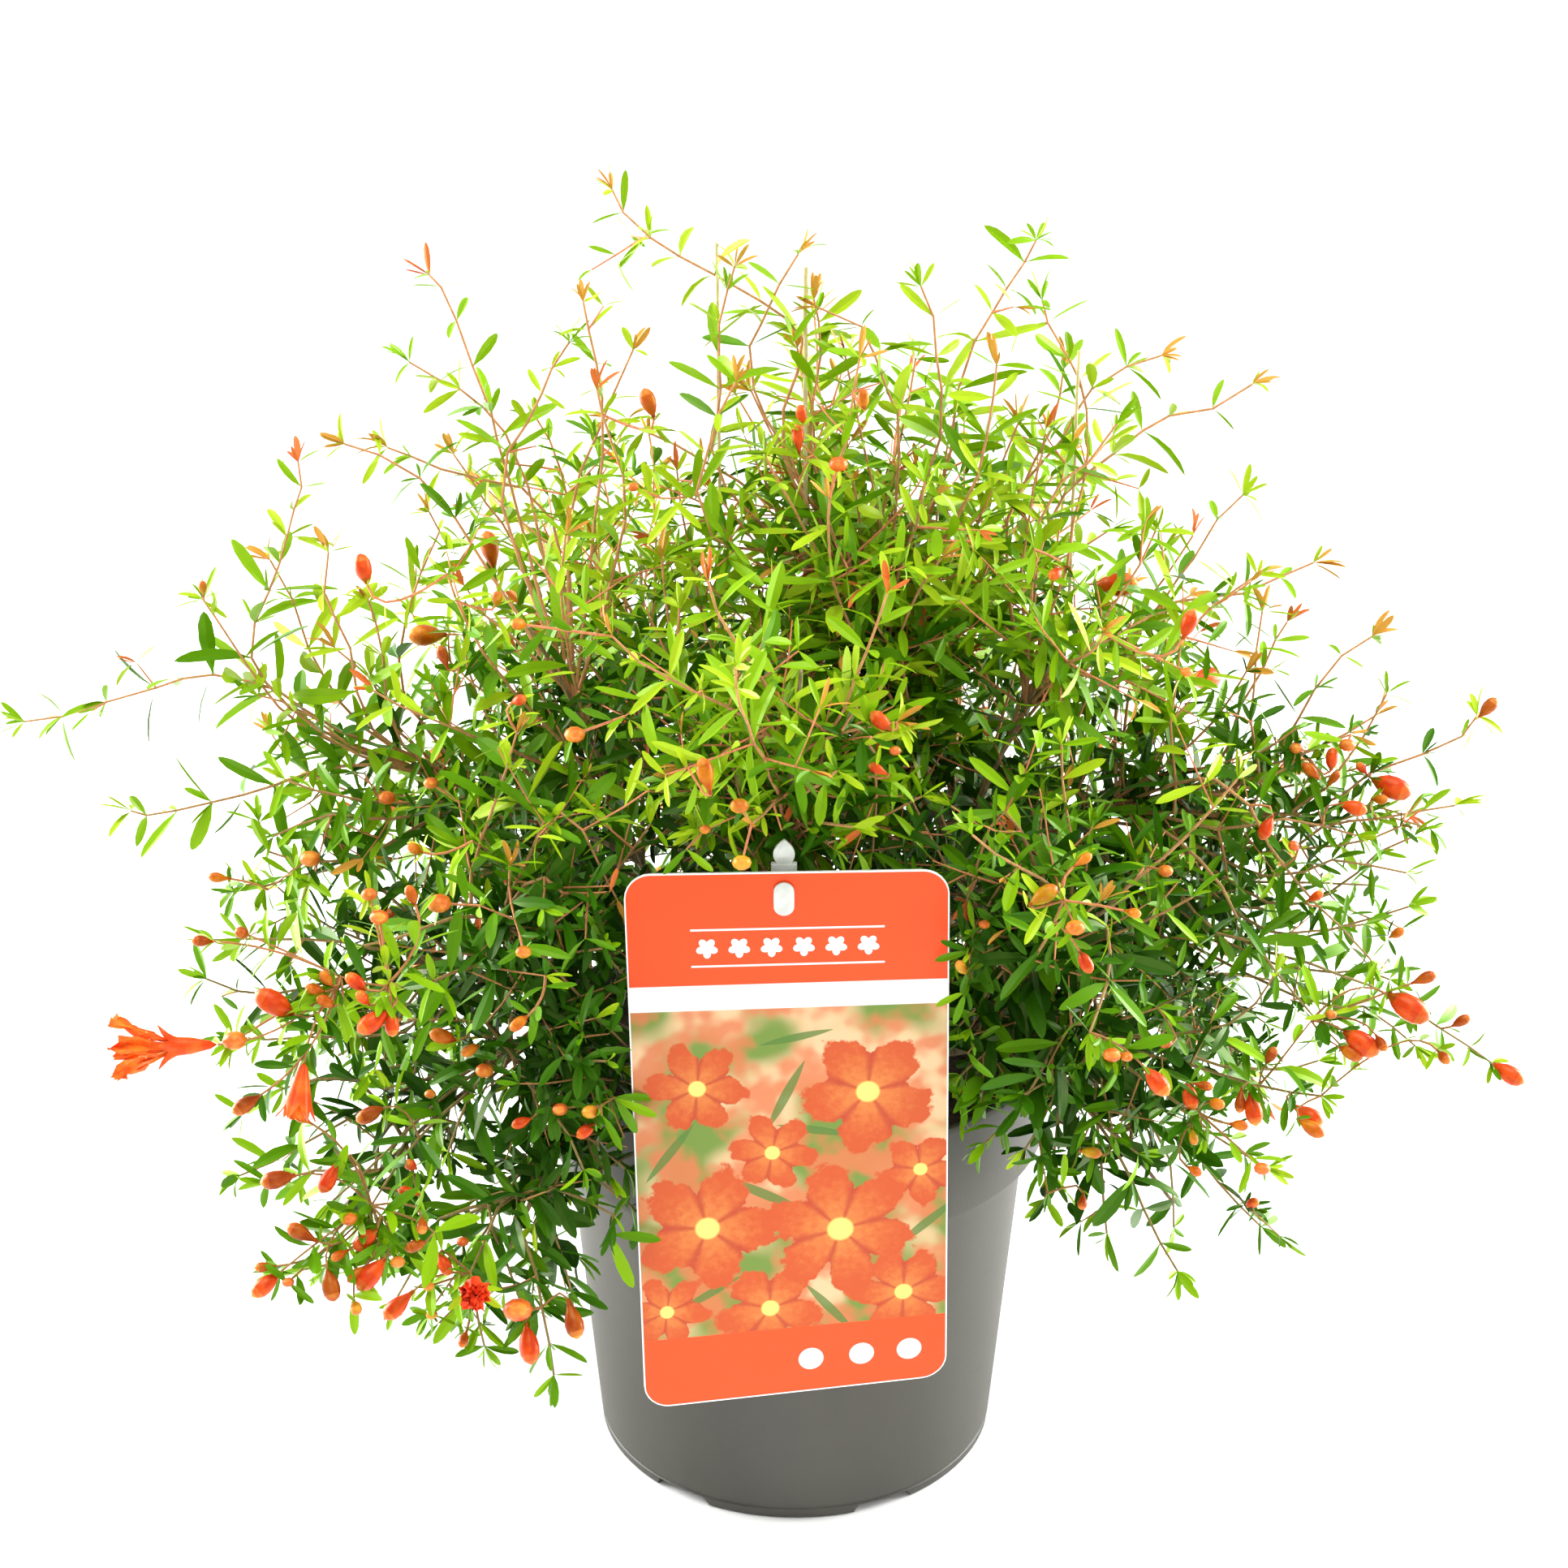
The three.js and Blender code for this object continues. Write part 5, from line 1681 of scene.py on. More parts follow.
# Buds on the sides and back: how many, how far back and how deep, the height from which they get fewer and
# over which they end, how close they stand, buds for one flower, their lengths and the share of each colour.
HIDDEN_BUDS = 130
HIDDEN_BACK, HIDDEN_DEPTH = 0.045, 0.014
HIDDEN_LOW, HIDDEN_FADE = 120, 220
HIDDEN_APART = 0.022
BUDS_PER_FLOWER = 14
HIDDEN_LENGTHS = (9, 21)
HIDDEN_SHARES = (5, 4, 4, 2)


# How a leaf bends: droop of its tip, sideways curve, and how far its halves fold up.
LEAF_BENDS = (
    (-0.06, 0.0, 0.30),
    (-0.18, 0.06, 0.22),
    (0.06, -0.05, 0.42),
    (-0.30, -0.08, 0.26),
    (-0.12, 0.12, 0.36),
    (0.02, 0.02, 0.18),
    (-0.42, 0.04, 0.32),
    (-0.08, -0.14, 0.5),
)
# Rows of a blade, from its foot: how far along, and half its width there.
LEAF_ROWS = (
    (0.0, 0.012),
    (0.08, 0.020),
    (0.28, 0.076),
    (0.55, 0.103),
    (0.8, 0.090),
    (0.94, 0.047),
    (1.0, 0.0),
)


def leaf_blade(droop, sickle, fold):
    """A narrow lance-shaped blade, 1 long, folded along its midrib."""
    bm = bmesh.new()
    bmesh.ops.create_grid(bm, x_segments=2, y_segments=len(LEAF_ROWS) - 1, size=0.5)
    for vert in bm.verts:
        row = round((vert.co.y + 0.5) * (len(LEAF_ROWS) - 1))
        y, half = LEAF_ROWS[row]
        side = 2 * vert.co.x
        vert.co = (side * half + sickle * y * y, y, droop * y * y + fold * abs(side) * half)
    bmesh.ops.remove_doubles(bm, verts=bm.verts, dist=1e-5)
    middle = {vert for vert in bm.verts if abs(vert.co.x - sickle * vert.co.y**2) < 1e-6}
    soften(bm, 180)
    for edge in bm.edges:
        if edge.verts[0] in middle and edge.verts[1] in middle:
            edge.smooth = False
    return Shape(bm)


def leaf_finish(tint, colour):
    surface = {"roughness": 0.4, "specular_ior_level": 0.3, "specular_tint": LEAF_SHINE}
    return Finish("leaf_" + tint, base_color=colour, **surface)


LEAF_SHINE = (0.85, 1.0, 0.3, 1.0)
SKIN_SHINE = (1.0, 0.8, 0.35, 1.0)

# A bud's section for each form: radius and height as shares of its length.
BUD_FORMS = (
    (
        (0, 0), (0.06, 0.01), (0.075, 0.1), (0.14, 0.2), (0.22, 0.36),
        (0.26, 0.56), (0.245, 0.75), (0.165, 0.9), (0.06, 0.97), (0, 1),
    ),
    (
        (0, 0), (0.05, 0.01), (0.065, 0.13), (0.12, 0.27), (0.2, 0.45),
        (0.235, 0.63), (0.215, 0.8), (0.14, 0.92), (0.05, 0.98), (0, 1),
    ),
    (
        (0, 0), (0.06, 0.01), (0.09, 0.08), (0.17, 0.18), (0.25, 0.34),
        (0.275, 0.54), (0.255, 0.73), (0.18, 0.88), (0.07, 0.95), (0, 0.98),
    ),
)
BUD_ACROSS = 0.52
BUD_NECK = 0.14
BUD_SHOULDER = 0.8
BUD_TIP = 0.93
BUD_COLUMNS = 10


def bud_shape(section):
    """A closed flower bud, 1 long: body, neck, points of its lobes and shoulder take a finish each."""
    bm = bmesh.new()
    turned(bm, [(radius / MM, height / MM) for radius, height in section], BUD_COLUMNS)
    for face in bm.faces:
        height = face.calc_center_median().z
        if height < BUD_NECK:
            face.material_index = 1
        elif height > BUD_TIP:
            face.material_index = 2
        elif height > BUD_SHOULDER:
            face.material_index = 3
    lay_along_y(bm)
    soften(bm, 70)
    return Shape(bm)


def lay_along_y(bm):
    bmesh.ops.rotate(bm, cent=(0, 0, 0), matrix=Matrix.Rotation(-math.pi / 2, 3, "X"), verts=bm.verts)


# Sizes in millimetres: the calyx tube, its mouth, its lobes and how far they bend out; the petals' reach past
# the mouth, their spread, half width and crumple, and the share of that width at their foot; how many whorls
# of petals fill the flower, and their finish; and how many stamens there are.
FLOWER_FORMS = {
    "trumpet": {
        "tube": 20, "mouth": 4.2, "lobe": 6, "flare": 6, "reach": 21, "spread": 10.5, "petal": 5.4,
        "crumple": 5.2, "claw": 0.14, "whorls": 1, "finish": 1, "stamens": 22, "seed": 3,
    },
    "bell": {
        "tube": 17, "mouth": 4.9, "lobe": 7, "flare": 2.4, "reach": 4, "spread": 0, "petal": 2.8,
        "crumple": 1.5, "claw": 0.2, "whorls": 1, "finish": 1, "stamens": 6, "seed": 5,
    },
    "open": {
        "tube": 12, "mouth": 5.2, "lobe": 4, "flare": 3.6, "reach": 5, "spread": 4, "petal": 6,
        "crumple": 4.6, "claw": 0.5, "whorls": 3, "finish": 3, "stamens": 0, "seed": 8,
    },
}
PETALS = 6


def calyx(bm, form):
    """A fleshy tube that widens to a mouth with six pointed lobes bent outwards."""
    tube, mouth = form["tube"], form["mouth"]
    foot = [(0, 0), (1.3, 0.1), (1.6, 0.12), (2.2, 0.25), (3.4, 0.5)]
    rim = [(mouth - 0.3, 0.78), (mouth, 0.9), (mouth + 0.2, 1)]
    inside = [(mouth - 0.4, 1), (mouth - 0.9, 0.9), (mouth - 1.3, 0.75), (1.6, 0.5), (0, 0.45)]
    turned(bm, [(radius, height * tube) for radius, height in foot + rim + inside], 6 * PETALS)
    for vert in bm.verts:
        share = (vert.co.z / MM - 0.85 * tube) / (0.15 * tube)
        if share > 0:
            turn = math.atan2(vert.co.y, vert.co.x) / math.tau * PETALS % 1
            point = 1 - abs(2 * turn - 1)
            out = Vector((vert.co.x, vert.co.y, 0)).normalized()
            vert.co += out * form["flare"] * share * point**1.5 * MM
            vert.co.z += form["lobe"] * share * (0.75 * point - 0.2) * MM


def petal(bm, form, index):
    """One crumpled petal with a narrow foot that comes out of the mouth between two lobes."""
    made = bmesh.ops.create_grid(bm, x_segments=7, y_segments=8, size=0.5)["verts"]
    whorl = index // PETALS
    outer = 1 - whorl / form["whorls"]
    turn = math.tau * (index + 0.5 + 0.5 * whorl) / PETALS
    outwards = Vector((math.cos(turn), math.sin(turn), 0))
    sideways = UP.cross(outwards)
    for vert in made:
        side, out = 2 * vert.co.x, vert.co.y + 0.5
        fold = Vector((1.8 * side, 3.5 * out, form["seed"] + 3.7 * index))
        crease = [noise.noise(fold + shift) + 0.6 * noise.noise(fold * 2.2 + shift) for shift in FOLD_SHIFTS]
        crumple = form["crumple"] * out
        half = form["petal"] * mix(form["claw"], 1.0, eased(out)) * math.sqrt(1 - 0.75 * out**4)
        away = outer * (form["mouth"] * 0.55 + form["spread"] * out**1.5)
        away += crumple * (crease[0] - 0.3 * side * side)
        height = form["tube"] * 0.7 + (form["tube"] * 0.3 + form["reach"]) * out * (1 - 0.12 * side * side)
        place = outwards * away + sideways * (half * side + 0.6 * crumple * crease[1])
        vert.co = (place + UP * (height + 0.8 * crumple * crease[2])) * MM
        for face in vert.link_faces:
            face.material_index = form["finish"]


FOLD_SHIFTS = (Vector((0, 0, 0)), Vector((11, 5, 2)), Vector((3, 17, 8)))


def stamens(bm, form):
    """Pale filaments with an anther each, leaning out of the mouth."""
    rng = random.Random(form["seed"])
    start = form["tube"] * 0.6
    for i in range(form["stamens"]):
        length = (form["tube"] + form["reach"] * 0.45) * rng.uniform(0.85, 1.05) - start
        lean = Matrix.Rotation(rng.uniform(0.05, 0.42), 4, "X") @ Matrix.Translation((0, 0, length / 2 * MM))
        place = Matrix.Translation((0, 0, start * MM)) @ Matrix.Rotation(2.4 * i, 4, "Z") @ lean
        made = bmesh.ops.create_cone(
            bm,
            segments=4,
            cap_ends=True,
            radius1=0.2 * MM,
            radius2=0.16 * MM,
            depth=length * MM,
            matrix=place,
        )["verts"]
        top = place @ Matrix.Translation((0, 0, length / 2 * MM))
        made += bmesh.ops.create_icosphere(bm, subdivisions=1, radius=0.6 * MM, matrix=top)["verts"]
        for face in {face for vert in made for face in vert.link_faces}:
            face.material_index = 2


def flower_shape(form):
    bm = bmesh.new()
    calyx(bm, form)
    for index in range(PETALS * form["whorls"]):
        petal(bm, form, index)
    stamens(bm, form)
    lay_along_y(bm)
    soften(bm, 60)
    return Shape(bm)


def skin_finish(name, colour, rough=0.33, coat=0.06):
    """A smooth waxy skin with soft mottling and fine streaks."""
    finish = Finish(name, roughness=rough, specular_ior_level=0.35, coat_weight=coat, coat_roughness=0.2)
    finish.set(specular_tint=SKIN_SHINE)
    place = finish.place()
    tone = finish.grain(place, 190, 2, 0.5)
    streaks = finish.grain(place, 1100, 2, 0.5)
    shade = (0.76 * colour[0], 0.42 * colour[1], 0.5 * colour[2])
    finish.set(base_color=finish.blend((tone + 0.25 * streaks).ramp(0.48, 0.82), shade, colour))
    return finish


def bark_finish(name, old, light, scale, high=None):
    """Flaky bark, which may turn to a younger colour high up."""
    finish = Finish(name, roughness=0.75, specular_ior_level=0.25)
    place = finish.place()
    flakes = finish.grain(finish.stretched(place, (1, 1, 0.3)), scale, 4, 0.6)
    worn = flakes.ramp(0.35, 0.68)
    base = finish.blend(worn, old, light)
    if high is not None:
        young = finish.blend(worn, shaded(high, YOUNG_SHADE), high)
        rise = finish.parts(place)[2].ramp(LOW_BARK * MM, HIGH_BARK * MM)
        base = finish.blend(rise, base, young)
    finish.set(base_color=base)
    finish.relief(flakes, 0.0006, 0.8)
    return finish


# Heights in millimetres between which the bark of twigs turns from its low to its high colour, and how dark
# the flakes of the high one are.
LOW_BARK, HIGH_BARK = 190, 340
YOUNG_SHADE = 0.75


# ------------------------------------------------------------------ settings


def hue(name, description, default):
    """A colour that a user would change."""
    limits = {"min": 0, "max": 1}
    return FloatVectorProperty(
        name=name, description=description, subtype="COLOR", default=default, **limits
    )


def size(name, description, default):
    """A length that a user would change, given in millimetres."""
    return FloatProperty(name=name, description=description, default=default * MM, unit="LENGTH")


class PotSettings(bpy.types.PropertyGroup):
    """The nursery pot and its soil."""

    colour: hue("Plastic", "Colour of the moulded pot", (0.0435, 0.0415, 0.0315))
    dust: hue("Dust", "Colour of dry dust and scuffs on the pot", (0.095, 0.09, 0.075))


class SoilSettings(bpy.types.PropertyGroup):
    """The potting mix."""

    colour: hue("Peat", "Colour of the potting mix", (0.06, 0.032, 0.017))
    fibre: hue("Fibre", "Colour of the fibres in the mix", (0.19, 0.10, 0.045))
    crumbs: IntProperty(name="Crumbs", description="Loose crumbs on the soil", default=520, min=0)
    crumb_size: size("Crumb size", "Half the length of a crumb", 1.6)


class LabelSettings(bpy.types.PropertyGroup):
    """Colours of the printed card and its stake."""

    header: hue("Header", "Colour of the card's bands", (0.88, 0.066, 0.002))
    white: hue("White", "Unprinted card", (0.86, 0.86, 0.85))
    meadow: hue("Meadow", "Green of the card's blurred garden", (0.14, 0.23, 0.03))
    haze: hue("Haze", "Light parts of the blurred garden", (0.70, 0.46, 0.25))
    blush: hue("Blush", "Warm parts of the blurred garden", (0.58, 0.15, 0.05))
    print_leaf: hue("Printed leaf", "Colour of the leaves on the card", (0.07, 0.17, 0.02))
    bloom: hue("Bloom", "Colour of the flowers on the card", (0.52, 0.07, 0.006))
    bloom_light: hue("Bloom light", "Light parts of the flowers on the card", (0.62, 0.19, 0.035))
    bloom_dark: hue("Bloom dark", "Dark parts of the flowers on the card", (0.38, 0.02, 0.004))
    bloom_heart: hue("Bloom heart", "Middle of the flowers on the card", (0.98, 0.72, 0.16))
    stake: hue("Stake", "Colour of the milky stake", (0.66, 0.69, 0.64))


class GrowthSettings(bpy.types.PropertyGroup):
    """How the shrub grows."""

    seed: IntProperty(name="Seed", description="Which shrub grows", default=7)
    internode: size("Internode", "Distance from one pair of leaves to the next", 12)
    leaf_length: size("Leaf length", "Length of a full leaf", 21)
    bark: hue("Bark", "Colour of the old bark", (0.16, 0.11, 0.055))
    bark_light: hue("Bark ridges", "Colour of the bark's ridges", (0.36, 0.27, 0.15))
    branch: hue("Branches", "Colour of the branches", (0.62, 0.29, 0.12))
    pruned: hue("Pruned stems", "Colour of the stems that were cut off", (0.74, 0.62, 0.33))
    branch_low: hue("Low branches", "Colour of the branches low down", (0.27, 0.19, 0.06))
    twig: hue("Twigs", "Colour of the young twigs", (0.78, 0.27, 0.12))
    twig_low: hue("Low twigs", "Colour of the twigs low down", (0.38, 0.20, 0.06))


class LeafColours(bpy.types.PropertyGroup):
    """Leaf colours, from the oldest inside to the youngest at the tips; the darker greens inside and low down
    are partly painted shade.
    """

    deep: hue("Deep", "Leaves deep inside", (0.013, 0.066, 0.002))
    dark: hue("Dark", "Older leaves", (0.031, 0.130, 0.002))
    mid: hue("Mid", "Full-grown leaves", (0.085, 0.235, 0.002))
    fresh: hue("Fresh", "This year's leaves", (0.20, 0.39, 0.003))
    lime: hue("Lime", "Young leaves", (0.34, 0.50, 0.01))
    bronze: hue("Bronze", "Leaves at the tips", (0.56, 0.27, 0.04))
    rust: hue("Rust", "The newest leaves", (0.60, 0.13, 0.03))


class BudColours(bpy.types.PropertyGroup):
    """Colours of the buds and flowers."""

    red: hue("Red", "Full red buds", (0.66, 0.070, 0.007))
    orange: hue("Orange", "Ripening buds", (0.54, 0.165, 0.006))
    brown: hue("Red brown", "Dull buds", (0.37, 0.075, 0.005))
    yellow: hue("Yellow", "Unripe buds", (0.49, 0.32, 0.008))
    neck: hue("Neck", "Necks of the buds", (0.38, 0.082, 0.006))
    point: hue("Point", "Points of the buds", (0.72, 0.26, 0.04))
    calyx: hue("Calyx", "Calyx of a flower", (0.84, 0.11, 0.012))
    petal: hue("Petal", "Crumpled petals", (0.94, 0.20, 0.018))
    rosette: hue("Rosette", "Petals of a full flower", (0.88, 0.06, 0.012))
    stamen: hue("Stamen", "Stamens", (0.92, 0.66, 0.22))


class StageSettings(bpy.types.PropertyGroup):
    """Floor, light and camera."""

    floor: hue("Floor", "Colour of the floor", (0.9, 0.9, 0.89))
    sky: FloatProperty(name="Sky", description="Strength of the even light from all round", default=0.5)
    overhead: FloatProperty(name="Overhead", description="Strength of the soft light from above", default=3.0)


SETTINGS = {
    "pomegranate_pot": PotSettings,
    "pomegranate_soil": SoilSettings,
    "pomegranate_label": LabelSettings,
    "pomegranate_growth": GrowthSettings,
    "pomegranate_leaves": LeafColours,
    "pomegranate_buds": BudColours,
    "pomegranate_stage": StageSettings,
}


# ------------------------------------------------------------------ operators

grown = {}


class MakePot(bpy.types.Operator):
    """Make the moulded pot with its rim band, foot notches and drainage holes"""

    bl_idname = "pomegranate.make_pot"
    bl_label = "Pot"

    def execute(self, context):
        bm = bmesh.new()
        turned(bm, pot_profile(), POT["columns"])
        cut_notches(bm)
        face_out(bm)
        mesh = cut(mesh_of(bm, "pot_body"), drain_cutter())
        bm = bmesh.new()
        bm.from_mesh(mesh)
        soften(bm, 38)
        finish = pot_finish(context.scene.pomegranate_pot)
        add_piece("nursery_pot", mesh_of(bm, "nursery_pot"), [finish], ["pot"])
        return {"FINISHED"}


class MakeSoil(bpy.types.Operator):
    """Make the potting mix, with an uneven surface and loose crumbs"""

    bl_idname = "pomegranate.make_soil"
    bl_label = "Soil"

    def execute(self, context):
        settings = context.scene.pomegranate_soil
        rng = random.Random(11)
        bm = bmesh.new()
        turned(bm, soil_profile(), 90)
        for vert in bm.verts:
            out = math.hypot(vert.co.x, vert.co.y)
            if vert.co.z > 0.15 and out < (SOIL["radius"] - 0.5) * MM:
                lump = noise.noise(vert.co * 90) * 1.3 + noise.noise(vert.co * 260) * 0.8
                vert.co.z += min(lump, 1.6) * MM
        soften(bm, 50)
        finish = soil_finish(settings)
        add_piece("potting_soil", mesh_of(bm, "potting_soil"), [finish], ["soil"])
        shapes = [crumb(rng) for _ in range(6)]
        copies = []
        for _ in range(settings.crumbs):
            out = (SOIL["radius"] - 2.5) * math.sqrt(rng.random())
            place = polar(rng.uniform(0, 360), out, soil_height(out) + rng.uniform(0, 1.2))
            direction = Vector((rng.gauss(0, 1), rng.gauss(0, 1), rng.gauss(0, 0.3)))
            size = settings.crumb_size * rng.uniform(0.4, 1.3)
            copies.append((rng.choice(shapes), standing(place, direction, UP, size, size)))
        add_piece("soil_crumbs", joined("soil_crumbs", copies), [finish])
        return {"FINISHED"}


class MakeLabel(bpy.types.Operator):
    """Make the printed card and the stake it hangs on"""

    bl_idname = "pomegranate.make_label"
    bl_label = "Label"

    def execute(self, context):
        settings = context.scene.pomegranate_label
        hole_place = card_place(0, CARD["height"] / 2 - CARD["hole_below_top"], 0)
        hole_place.x = STAKE["x"] * MM
        bm = bmesh.new()
        oval_plate(bm, CARD["hole_width"], CARD["hole_height"], 8, Matrix.Translation(hole_place))
        face_out(bm)
        mesh = cut(card_sheet(), mesh_of(bm, "hole_cutter"))
        finishes = [card_print(settings), board_finish(settings)]
        add_piece("label_card_print", mesh, finishes, ["label_card"])
        self.make_stake(settings, hole_place)
        return {"FINISHED"}

    def make_stake(self, settings, hole_place):
        spade = STAKE["top_z"] - STAKE["spade"][1]
        neck_width, neck_height, neck_thickness = STAKE["neck"]
        neck = spade - neck_height
        stem = STAKE["stem"][0] / 2
        foot = STAKE["foot_z"]
        bm = bmesh.new()
        point = [(0, foot - STAKE["point"]), (stem, foot), (stem, neck), (-stem, neck), (-stem, foot)]
        stake_plate(bm, point, STAKE["stem"][1])
        half = neck_width / 2
        block = [(-half, neck - 1), (half, neck - 1), (half, spade), (-half, spade)]
        stake_plate(bm, block, neck_thickness)
        stake_plate(bm, spade_outline(spade - 0.6), STAKE["stem"][1])
        width, height, thickness = STAKE["button"]
        front = hole_place.y / MM - CARD["thickness"] / 2 - STAKE["gap"] - thickness / 2
        place = mm(STAKE["x"], front, hole_place.z / MM)
        oval_plate(bm, width, height, thickness, Matrix.Translation(place))
        back = stake_y(hole_place.z / MM)
        size = mm(STAKE["post"], back - front, STAKE["post"])
        middle = mm(STAKE["x"], (back + front) / 2, hole_place.z / MM)
        bmesh.ops.create_cube(bm, size=1, matrix=Matrix.Translation(middle) @ Matrix.Diagonal((*size, 1)))
        face_out(bm)
        sharp = [edge for edge in bm.edges if edge.calc_face_angle(0) > math.radians(50)]
        bmesh.ops.bevel(
            bm,
            geom=sharp,
            offset=STAKE["edge"] * MM,
            offset_type="OFFSET",
            segments=2,
            profile=0.5,
            affect="EDGES",
            material=-1,
        )
        soften(bm, 60)
        finish = stake_finish(settings)
        add_piece("milky_stake", mesh_of(bm, "milky_stake"), [finish], ["label_stake"])


def ring_edges(bm, ring):
    return [edge for edge in bm.edges if all(vert in ring for vert in edge.verts)]


def stump():
    """The short stem: tapering, flared at its foot, with shallow ribs and the bark's ridges."""
    foot = trunk_foot()
    bm = bmesh.new()
    levels = [bmesh.ops.create_circle(bm, cap_ends=True, segments=40, radius=1)["verts"]]
    for _ in range(STUMP_RINGS):
        extruded = bmesh.ops.extrude_edge_only(bm, edges=ring_edges(bm, levels[-1]))["geom"]
        levels.append([item for item in extruded if isinstance(item, bmesh.types.BMVert)])
    bmesh.ops.contextual_create(bm, geom=ring_edges(bm, levels[-1]))
    for k, level in enumerate(levels):
        share = k / STUMP_RINGS
        middle = trunk_axis(foot + share * TRUNK["height"])
        flare = max(0, 1 - share * TRUNK["height"] / TRUNK["flare_height"])
        plain = mix(TRUNK["waist"], TRUNK["fork"], share) + (TRUNK["flare"] - TRUNK["waist"]) * flare**2
        for vert in level:
            azimuth = math.atan2(vert.co.y, vert.co.x)
            ribs = 1 + 0.08 * math.sin(3 * azimuth + 1) + 0.05 * math.sin(5 * azimuth)
            ridge = noise.noise(Vector((math.cos(azimuth) * 6, math.sin(azimuth) * 6, share * 3)))
            radius = (plain * ribs + STUMP_RIDGE * ridge) * MM
            vert.co = middle + Vector((math.cos(azimuth), math.sin(azimuth), 0)) * radius
    face_out(bm)
    soften(bm, 60)
    return mesh_of(bm, "stump")


def ridged_boughs(curves):
    """The boughs as tapering tubes, with the bark's ridges in their surface."""
    limbs = []
    for points in curves:
        middle = points[len(points) // 2] * 2 - (points[0] + points[-1]) / 2
        fine = along_curve([points[0], middle, points[-1]], 1.6 * MM)
        limbs.append((fine, taper(len(fine), *BOUGH_RADII)))
    wood = bmesh.new()
    wood.from_mesh(tubes("boughs", limbs, 14))
    wood.normal_update()
    for vert in wood.verts:
        place = vert.co * 900
        ridge = noise.noise(Vector((place.x, place.y, place.z * 0.3)))
        vert.co += vert.normal * BOUGH_RIDGE * ridge * MM
    return wood


STUMP_RINGS = 22
# How deep the bark's ridges are, in millimetres.
STUMP_RIDGE = 0.55
BOUGH_RIDGE = 0.22
FEWEST_LEAVES = 1000


class GrowShrub(bpy.types.Operator):
    """Grow the limbs, branches and twigs into the shape of the crown"""

    bl_idname = "pomegranate.grow_shrub"
    bl_label = "Branches"

    def execute(self, context):
        settings = context.scene.pomegranate_growth
        shrub = Shrub(settings)
        grown["shrub"] = shrub
        if sum(len(leaves) for leaves in shrub.leaves.values()) < FEWEST_LEAVES:
            raise RuntimeError("the shrub has hardly any leaves")
        wood = ridged_boughs(shrub.boughs)
        wood.from_mesh(stump())
        finish = bark_finish("ridged_bark", settings.bark, settings.bark_light, 420)
        add_piece("trunk_and_boughs", mesh_of(wood, "trunk_and_boughs"), [finish], ["trunk", *LIMBS])
        low, twig, pruned = settings.branch_low, settings.twig_low, settings.pruned
        for name, kind, sides, finish in (
            ("inner_stems", "stem", 8, ("stem_bark", settings.bark, settings.bark_light, 500)),
            ("leafy_branches", "branch", 6, ("branch_bark", shaded(low, 0.7), low, 700, settings.branch)),
            ("young_twigs", "twig", 4, ("twig_skin", shaded(twig, 0.7), twig, 900, settings.twig)),
            ("pruned_stems", "pruned", 8, ("pruned_bark", shaded(pruned, 0.75), pruned, 600)),
        ):
            add_piece(name, tubes(name, shrub.limbs[kind], sides), [bark_finish(*finish)])
        return {"FINISHED"}


class MakeLeaves(bpy.types.Operator):
    """Put the leaves on, one joined piece for each tint"""

    bl_idname = "pomegranate.make_leaves"
    bl_label = "Leaves"

    def execute(self, context):
        colours = context.scene.pomegranate_leaves
        shapes = [leaf_blade(*bends) for bends in LEAF_BENDS]
        for tint, leaves in grown["shrub"].leaves.items():
            if not leaves:
                raise RuntimeError("no leaves of tint " + tint)
            mesh = joined("leaves_" + tint, [(shapes[shape], matrix) for shape, matrix in leaves])
            finish = leaf_finish(tint, getattr(colours, tint))
            nodes = FOLIAGE if tint == TINTS[0] else ()
            add_piece("leaves_" + tint, mesh, [finish], nodes)
        return {"FINISHED"}


class MakeBuds(bpy.types.Operator):
    """Put the closed buds on, one joined piece for each colour"""

    bl_idname = "pomegranate.make_buds"
    bl_label = "Buds"

    def execute(self, context):
        colours = context.scene.pomegranate_buds
        shapes = [bud_shape(section) for section in BUD_FORMS]
        neck = skin_finish("bud_neck", colours.neck)
        point = skin_finish("bud_point", colours.point)
        for skin, buds in grown["shrub"].buds.items():
            if not buds:
                raise RuntimeError("no buds of colour " + skin)
            mesh = joined("buds_" + skin, [(shapes[form], matrix) for form, matrix in buds])
            colour = getattr(colours, skin)
            lighter = tuple(mix(low, high, 0.45) for low, high in zip(colour, colours.point))
            body = skin_finish("bud_skin_" + skin, colour)
            shoulder = skin_finish("bud_shoulder_" + skin, lighter)
            add_piece("buds_" + skin, mesh, [body, neck, point, shoulder])
        return {"FINISHED"}


class MakeFlowers(bpy.types.Operator):
    """Put the open flowers on"""

    bl_idname = "pomegranate.make_flowers"
    bl_label = "Flowers"

    def execute(self, context):
        colours = context.scene.pomegranate_buds
        shapes = {name: flower_shape(form) for name, form in FLOWER_FORMS.items()}
        mesh = joined("open_flowers", [(shapes[form], matrix) for form, matrix in grown["shrub"].flowers])
        finishes = [
            skin_finish("calyx_skin", colours.calyx),
            skin_finish("petal_skin", colours.petal, 0.5, 0),
            skin_finish("stamen_skin", colours.stamen, 0.6, 0),
            skin_finish("rosette_skin", colours.rosette, 0.5, 0),
        ]
        add_piece("open_flowers", mesh, finishes)
        return {"FINISHED"}


